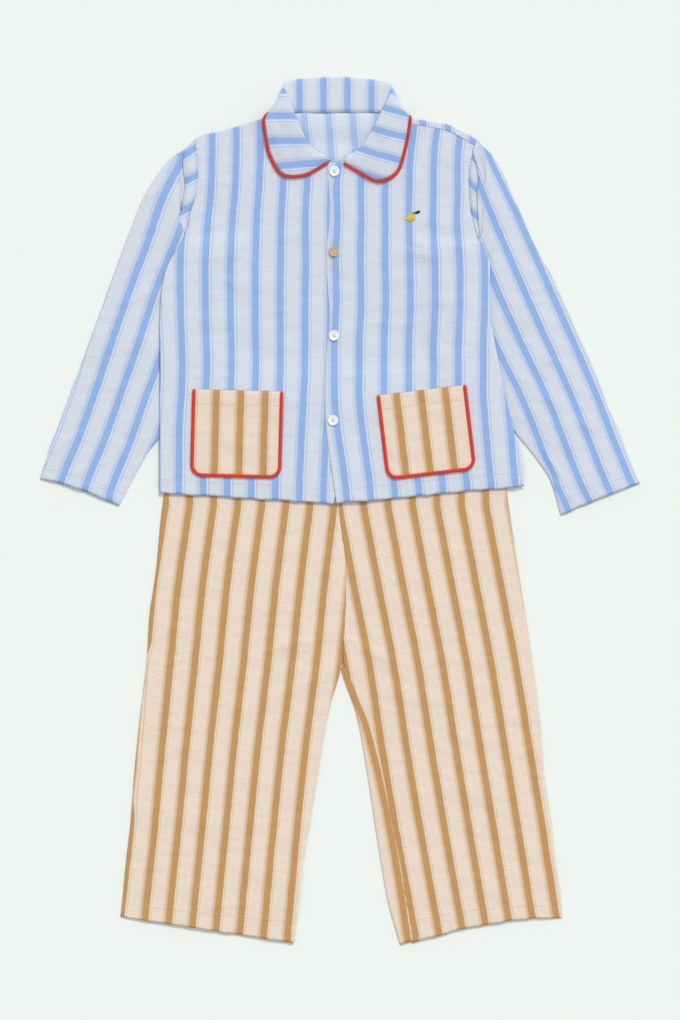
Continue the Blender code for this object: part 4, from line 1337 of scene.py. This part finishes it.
def make_button(index, button):
    """A turned button with a raised rim, a dish, four holes shown as discs of painted shade, and its thread.
    """
    seat = height_on(fronts_tree, button.x, button.y, SECOND) + FABRIC / 2
    centre = np.array((button.x, button.y, seat))
    profile = [(BUTTON_RADIUS * radius, BUTTON_THICKNESS * height) for radius, height in BUTTON_PROFILE]
    slot = f"{button.material}_button"
    disc = plain_mesh(f"{slot}_{index}", [lathe_part(centre, profile, 36)], button.material)
    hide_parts(f"button_{index}")
    dish = profile[-1][1]
    turns = np.radians(button.turn + np.arange(45, 360, 90))
    spots = [centre + np.array((math.cos(turn), math.sin(turn), 0)) * HOLE_SPREAD for turn in turns]
    # Each hole is a grey disc on the dish: painted shade where the hole is.
    hole_shade = ((HOLE_RADIUS, dish - 0.3), (HOLE_RADIUS, dish + 0.04))
    threads = []
    for start, end in (spots[:2], spots[2:]):
        path = []
        for share in np.linspace(0, 1, 7):
            rise = dish + 0.1 + 0.45 * math.sin(math.pi * share)
            path.append(start + (end - start) * share + np.array((0, 0, rise)))
        threads.append(tube_part(path, THREAD_RADIUS, 8))
    plain_mesh(f"button_hole_shades_{index}", [lathe_part(spot, hole_shade, 14) for spot in spots], "hole_shade")
    plain_mesh(f"button_thread_{index}", threads, "button_thread")


# Stitches and the motif


def stitches_on(tree, line):
    """Short thread capsules along a line on the cloth."""
    run = run_of(line)
    parts = []
    for start in np.arange(1, run[-1] - STITCH, STITCH + STITCH_GAP):
        places = np.linspace(start, start + STITCH, 4)
        spots = np.column_stack([np.interp(places, run, line[:, 0]), np.interp(places, run, line[:, 1])])
        heights = [height_on(tree, x, y) for x, y in spots]
        if None in heights:
            continue
        rise = np.array((0.05, 0.22, 0.22, 0.05)) + FABRIC / 2
        parts.append(tube_part(np.column_stack([spots, np.array(heights) + rise]), STITCH_RADIUS, 6))
    return parts


def hem_line(piece, depth):
    """A line across the upper side of a piece, this far above its hem."""
    mesh = piece.data
    hem = np.zeros(len(mesh.vertices), np.float32)
    mesh.attributes["hem"].data.foreach_get("value", hem)
    points = np.zeros(len(mesh.vertices) * 3, np.float32)
    mesh.vertices.foreach_get("co", points)
    points = points.reshape(-1, 3) / MM
    near = points[(np.abs(hem - depth) < FINE) & (points[:, 2] > SECOND - 0.5)]
    near = near[np.argsort(near[:, 0])]
    xs = np.linspace(near[0, 0] + 1, near[-1, 0] - 1, 40)
    fit = np.polyfit(near[:, 0], near[:, 1], 5)
    return np.column_stack([xs, np.polyval(fit, xs)])


def make_stitches(place, cloth, tree, pieces, depth):
    """The stitches of the hem of each of these pieces, this far above its edge."""
    parts = []
    for piece in pieces:
        parts += stitches_on(tree, hem_line(piece, depth))
    plain_mesh(f"{place}_stitches", parts, f"{cloth}_thread")


def satin_patch(patch, tree):
    """A patch of satin stitch: threads side by side across an almond shape."""
    turn = math.radians(patch.turn)
    along = np.array((math.cos(turn), math.sin(turn)))
    aside = np.array((-along[1], along[0]))
    centre = np.array(LEMON) + (patch.x, patch.y)
    parts = []
    for share in np.linspace(-0.94, 0.94, patch.threads):
        reach = patch.half_width * (1 - abs(share) ** 2.2) ** 0.6
        path = []
        for end in np.linspace(-1, 1, 5):
            spot = centre + along * (share * patch.half_length + patch.lean * end) + aside * reach * end
            base = height_on(tree, spot[0], spot[1], SECOND) + FABRIC / 2
            path.append((*spot, base + 0.1 + 0.45 * (1 - end ** 2)))
        parts.append(tube_part(path, patch.radius, 6))
    return parts


def make_lemon(tree):
    """A plain lemon in satin stitch with a stem and one leaf."""
    for name, look, patches in (("lemon_fruit", "lemon", LEMON_FRUIT), ("lemon_leaf", "leaf", LEMON_LEAF)):
        threads = [thread for patch in patches for thread in satin_patch(patch, tree)]
        plain_mesh(name, threads, look)


# Looks


def linear(value):
    share = value / 255
    return share / 12.92 if share <= 0.04045 else ((share + 0.055) / 1.055) ** 2.4


def linear_colour(colour):
    return (*(linear(part) for part in colour), 1)


class Nodes:
    """Short ways to add and join the nodes of one material."""

    def __init__(self, name):
        self.look = bpy.data.materials.new(name)
        self.look.use_nodes = True
        self.tree = self.look.node_tree
        self.surface = self.tree.nodes["Principled BSDF"]

    def add(self, kind, **inputs):
        node = self.tree.nodes.new(kind)
        for name, value in inputs.items():
            self.feed(node.inputs[name], value)
        return node

    def feed(self, socket, value):
        if isinstance(value, bpy.types.NodeSocket):
            self.tree.links.new(value, socket)
        else:
            socket.default_value = value

    def maths(self, operation, *values):
        node = self.tree.nodes.new("ShaderNodeMath")
        node.operation = operation
        for socket, value in zip(node.inputs, values):
            self.feed(socket, value)
        return node.outputs[0]

    def scaled(self, value, factor):
        return self.maths("MULTIPLY", value, factor)

    def grain(self):
        """Across and along the thread, in metres."""
        place = self.add("ShaderNodeUVMap")
        place.uv_map = "grain"
        return self.add("ShaderNodeSeparateXYZ", Vector=place.outputs[0]).outputs[:2]

    def noise(self, x, y, detail=2.0):
        place = self.add("ShaderNodeCombineXYZ", X=x, Y=y).outputs[0]
        return self.add("ShaderNodeTexNoise", Vector=place, Scale=1.0, Detail=detail).outputs[0]

    def spots(self, grain, width, length, detail=2.0):
        """Noise whose spots have about this width and this length."""
        across, along = grain
        return self.noise(self.scaled(across, 1 / width), self.scaled(along, 1 / length), detail)

    def ramp(self, factor, stops):
        node = self.add("ShaderNodeValToRGB", Fac=factor)
        elements = node.color_ramp.elements
        while len(elements) < len(stops):
            elements.new(0.5)
        for element, (place, colour) in zip(elements, stops):
            element.position = place
            element.color = colour
        return node.outputs[0]

    def shaded(self, colour, factor):
        node = self.add("ShaderNodeMix")
        node.data_type = "RGBA"
        node.blend_type = "MULTIPLY"
        self.feed(node.inputs[0], 1.0)
        self.feed(node.inputs[6], colour)
        self.feed(node.inputs[7], factor)
        return node.outputs[2]

    def toned(self, colour, factor, *stops):
        """The colour, darker where the factor is at stops below one."""
        return self.shaded(colour, self.ramp(factor, [(place, grey(tone)) for place, tone in stops]))

    def finish(self, colour, roughness, shine, bump=None):
        """The look of a surface with this colour, roughness and shine, and a bump where one is given."""
        self.feed(self.surface.inputs["Base Color"], colour)
        self.feed(self.surface.inputs["Roughness"], roughness)
        self.feed(self.surface.inputs["Specular IOR Level"], shine)
        if bump is not None:
            self.feed(self.surface.inputs["Normal"], bump.outputs[0])
        return self.look


def grey(value):
    return (value, value, value, 1)


def mixed(colour, other, share):
    return tuple(a + (b - a) * share for a, b in zip(colour, other))


def cloth_look(name, bands, period, hem, veil=None):
    """Crinkled cotton with woven stripes; the colours of its wrong side are nearer to those of its veil."""
    nodes = Nodes(name)
    grain = [nodes.scaled(part, 1 / MM) for part in nodes.grain()]
    slow = nodes.maths("MULTIPLY_ADD", nodes.spots(grain, 40, 26), 1.2, -0.6)
    quick = nodes.maths("MULTIPLY_ADD", nodes.spots(grain, 9, 5), 0.8, -0.4)
    across = nodes.maths("ADD", grain[0], nodes.maths("ADD", slow, quick))
    phase = nodes.maths("FRACT", nodes.maths("MULTIPLY_ADD", across, 1 / period, 100))
    stops = []
    crinkles = []
    for band in (*bands, bands[0]._replace(at=period)):
        place = band.at / period
        stops.append((place, linear_colour(mixed(band.colour, veil, VEIL_SHARE) if veil else band.colour)))
        crinkles.append((place, grey(band.crinkle)))
    colour = nodes.ramp(phase, stops)
    crinkle = nodes.ramp(phase, crinkles)
    mottle = nodes.spots(grain, 6, 2.4, 4.0)
    colour = nodes.toned(colour, mottle, (0.25, 0.93), (0.5, 0.985), (0.75, 1))
    distance = nodes.add("ShaderNodeAttribute")
    distance.attribute_name = "hem"
    from_edge = distance.outputs["Fac"]
    # Painted shade of the groove along a hem's stitch line: the colour is darker within about a millimetre of
    # the stitches.
    beside_seam = nodes.maths("ABSOLUTE", nodes.maths("SUBTRACT", from_edge, hem))
    colour = nodes.toned(colour, beside_seam, (0, 0.96), (0.9, 0.99), (1, 1))
    # Painted shade of a folded edge, at a hem and at a pocket's mouth: the colour darkens over the last two
    # millimetres before it.
    colour = nodes.toned(colour, nodes.scaled(from_edge, 0.5), (0, 0.84), (0.6, 0.97), (1, 1))
    puckered = nodes.maths("MULTIPLY", nodes.spots(grain, 7, 1.9, 3.0), crinkle)
    weave = nodes.scaled(nodes.spots(grain, 0.45, 0.45, 1.0), 0.08)
    height = nodes.maths("ADD", puckered, weave)
    nodes.surface.inputs["Sheen Weight"].default_value = 0.04
    nodes.surface.inputs["Sheen Roughness"].default_value = 0.5
    bump = nodes.add("ShaderNodeBump", Height=height, Strength=0.9, Distance=0.6 * MM)
    return nodes.finish(colour, 0.92, 0.15, bump)


def cord_look(name, colour, dark, turns):
    """Twisted or twilled thread, with fine slanted ribs; the darker colour is painted shade in the grooves
    between them.
    """
    nodes = Nodes(name)
    slant = nodes.maths("ADD", *nodes.grain())
    rib = nodes.maths("SINE", nodes.scaled(slant, turns / MM))
    share = nodes.maths("MULTIPLY_ADD", rib, 0.5, 0.5)
    # Painted shade: the tone falls to the darker colour where the ribs' bump is lowest.
    tone = nodes.ramp(share, ((0, linear_colour(dark)), (1, linear_colour(colour))))
    bump = nodes.add("ShaderNodeBump", Height=share, Strength=0.4, Distance=0.12 * MM)
    return nodes.finish(tone, 0.8, 0.2, bump)


def mottled_look(name, colour, dark, scale, roughness):
    """A plain finish whose tone changes a little from place to place."""
    nodes = Nodes(name)
    share = nodes.spots(nodes.grain(), MM / scale, MM / (0.3 * scale), 3.0)
    tone = nodes.ramp(share, ((0.3, linear_colour(dark)), (0.65, linear_colour(colour))))
    return nodes.finish(tone, roughness, PLAIN_SHINE)


def make_cloth_looks():
    jacket = (JACKET_BANDS, JACKET_PERIOD)
    trousers = (TROUSER_BANDS, TROUSER_PERIOD)
    return {
        "jacket_face": cloth_look("jacket cotton", *jacket, JACKET_HEM),
        "sleeve_face": cloth_look("sleeve cotton", *jacket, CUFF_HEM),
        "collar_face": cloth_look("collar cotton", *jacket, FAR_FROM_HEM),
        "jacket_inside": cloth_look("wrong side of jacket cotton", *jacket, JACKET_HEM, JACKET_VEIL),
        "trouser_face": cloth_look("trouser cotton", *trousers, TROUSER_HEM),
        "trouser_inside": cloth_look("wrong side of trouser cotton", *trousers, TROUSER_HEM, TROUSER_VEIL),
        "pocket_face": cloth_look("pocket cotton", *trousers, POCKET_HEM),
    }


def make_plain_looks():
    return {
        "collar_piping": cord_look("red piping of the collar", (214, 72, 68), (190, 52, 52), 3.4),
        "pocket_piping": cord_look("red piping of the pockets", (226, 74, 58), (200, 54, 42), 3.4),
        "white": mottled_look("white button", (246, 246, 246), (236, 237, 238), 0.4, 0.35),
        "wooden": mottled_look("wooden button", (214, 184, 138), (184, 150, 104), 0.5, 0.55),
        # Painted shade of the button holes.
        "hole_shade": mottled_look("button hole", (206, 202, 204), (186, 184, 188), 0.5, 0.9),
        "button_thread": cord_look("button thread", (236, 234, 230), (206, 204, 202), 9),
        "jacket_thread": cord_look("jacket thread", (230, 236, 247), (212, 221, 236), 9),
        "trouser_thread": cord_look("trouser thread", (248, 233, 214), (228, 210, 188), 9),
        "lemon": cord_look("lemon silk", (240, 221, 108), (205, 186, 78), 7),
        "leaf": cord_look("leaf silk", (64, 70, 88), (40, 46, 60), 7),
    }


# Camera, light and ground


def make_stage():
    scene = bpy.context.scene
    scene.view_settings.view_transform = "Standard"
    bpy.ops.mesh.primitive_plane_add(size=FLOOR_SIDE)
    floor = bpy.context.object
    floor.name = "floor"
    floor.data.materials.append(Nodes("pale ground").finish(linear_colour(FLOOR_COLOUR), 1.0, 0.0))

    world = bpy.data.worlds.new("soft daylight")
    world.use_nodes = True
    scene.world = world
    sky = world.node_tree.nodes["Background"]
    sky.inputs["Color"].default_value = (1, 1, 1, 1)
    sky.inputs["Strength"].default_value = SKY

    window = bpy.data.lights.new("high window", "SUN")
    window.angle = math.radians(SUN_SOFTNESS)
    window.energy = SUN
    lamp = bpy.data.objects.new("high window", window)
    lamp.rotation_euler = (math.radians(-SUN_SLOPE), 0, math.radians(SUN_TURN))
    scene.collection.objects.link(lamp)

    lens = bpy.data.cameras.new("camera")
    lens.sensor_width = SENSOR
    lens.lens = SENSOR * CAMERA_HEIGHT / VIEW_HEIGHT
    lens.clip_end = 100
    camera = bpy.data.objects.new("camera", lens)
    camera.location = (0, 0, CAMERA_HEIGHT)
    scene.collection.objects.link(camera)
    scene.camera = camera


# The set, piece by piece

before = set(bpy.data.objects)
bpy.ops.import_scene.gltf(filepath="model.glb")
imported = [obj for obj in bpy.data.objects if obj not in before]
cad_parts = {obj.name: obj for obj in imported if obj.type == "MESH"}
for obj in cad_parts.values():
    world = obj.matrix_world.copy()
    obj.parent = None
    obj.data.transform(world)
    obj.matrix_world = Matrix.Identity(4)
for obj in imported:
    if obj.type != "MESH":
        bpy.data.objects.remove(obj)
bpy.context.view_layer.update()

visible = bpy.data.collections.new("pyjama_set")
bpy.context.scene.collection.children.link(visible)
cloth_looks = make_cloth_looks()
plain_looks = make_plain_looks()

trousers = make_trousers()
make_waistband()
fronts = make_body()
fronts_tree = tree_over(fronts)
make_back()
sleeves = (
    make_sleeve("right_sleeve", "sleeve_right", -1, SLEEVE_RIGHT, PLEAT_RIGHT, GRAIN_SLEEVE_RIGHT, 51),
    make_sleeve("left_sleeve", "sleeve_left", 1, SLEEVE_LEFT, PLEAT_LEFT, GRAIN_SLEEVE_LEFT, 53),
)
edge = collar_piping_path(make_collar())
make_piping("red_edge_collar", "collar_piping", edge, PIPING_RADIUS, "collar_piping")
pockets = [make_pocket(pocket, 60 + number) for number, pocket in enumerate(POCKETS)]
for number, button in enumerate(BUTTONS, start=1):
    make_button(number, button)

make_stitches("jacket_hem", "jacket", fronts_tree, fronts, JACKET_HEM)
make_stitches("trouser_hem", "trouser", tree_over(trousers), trousers[::2], TROUSER_HEM)
make_stitches("cuff", "jacket", tree_over(sleeves), sleeves, CUFF_HEM)
make_stitches("pocket", "trouser", tree_over(pockets), pockets, POCKET_HEM)
make_lemon(fronts_tree)

make_stage()
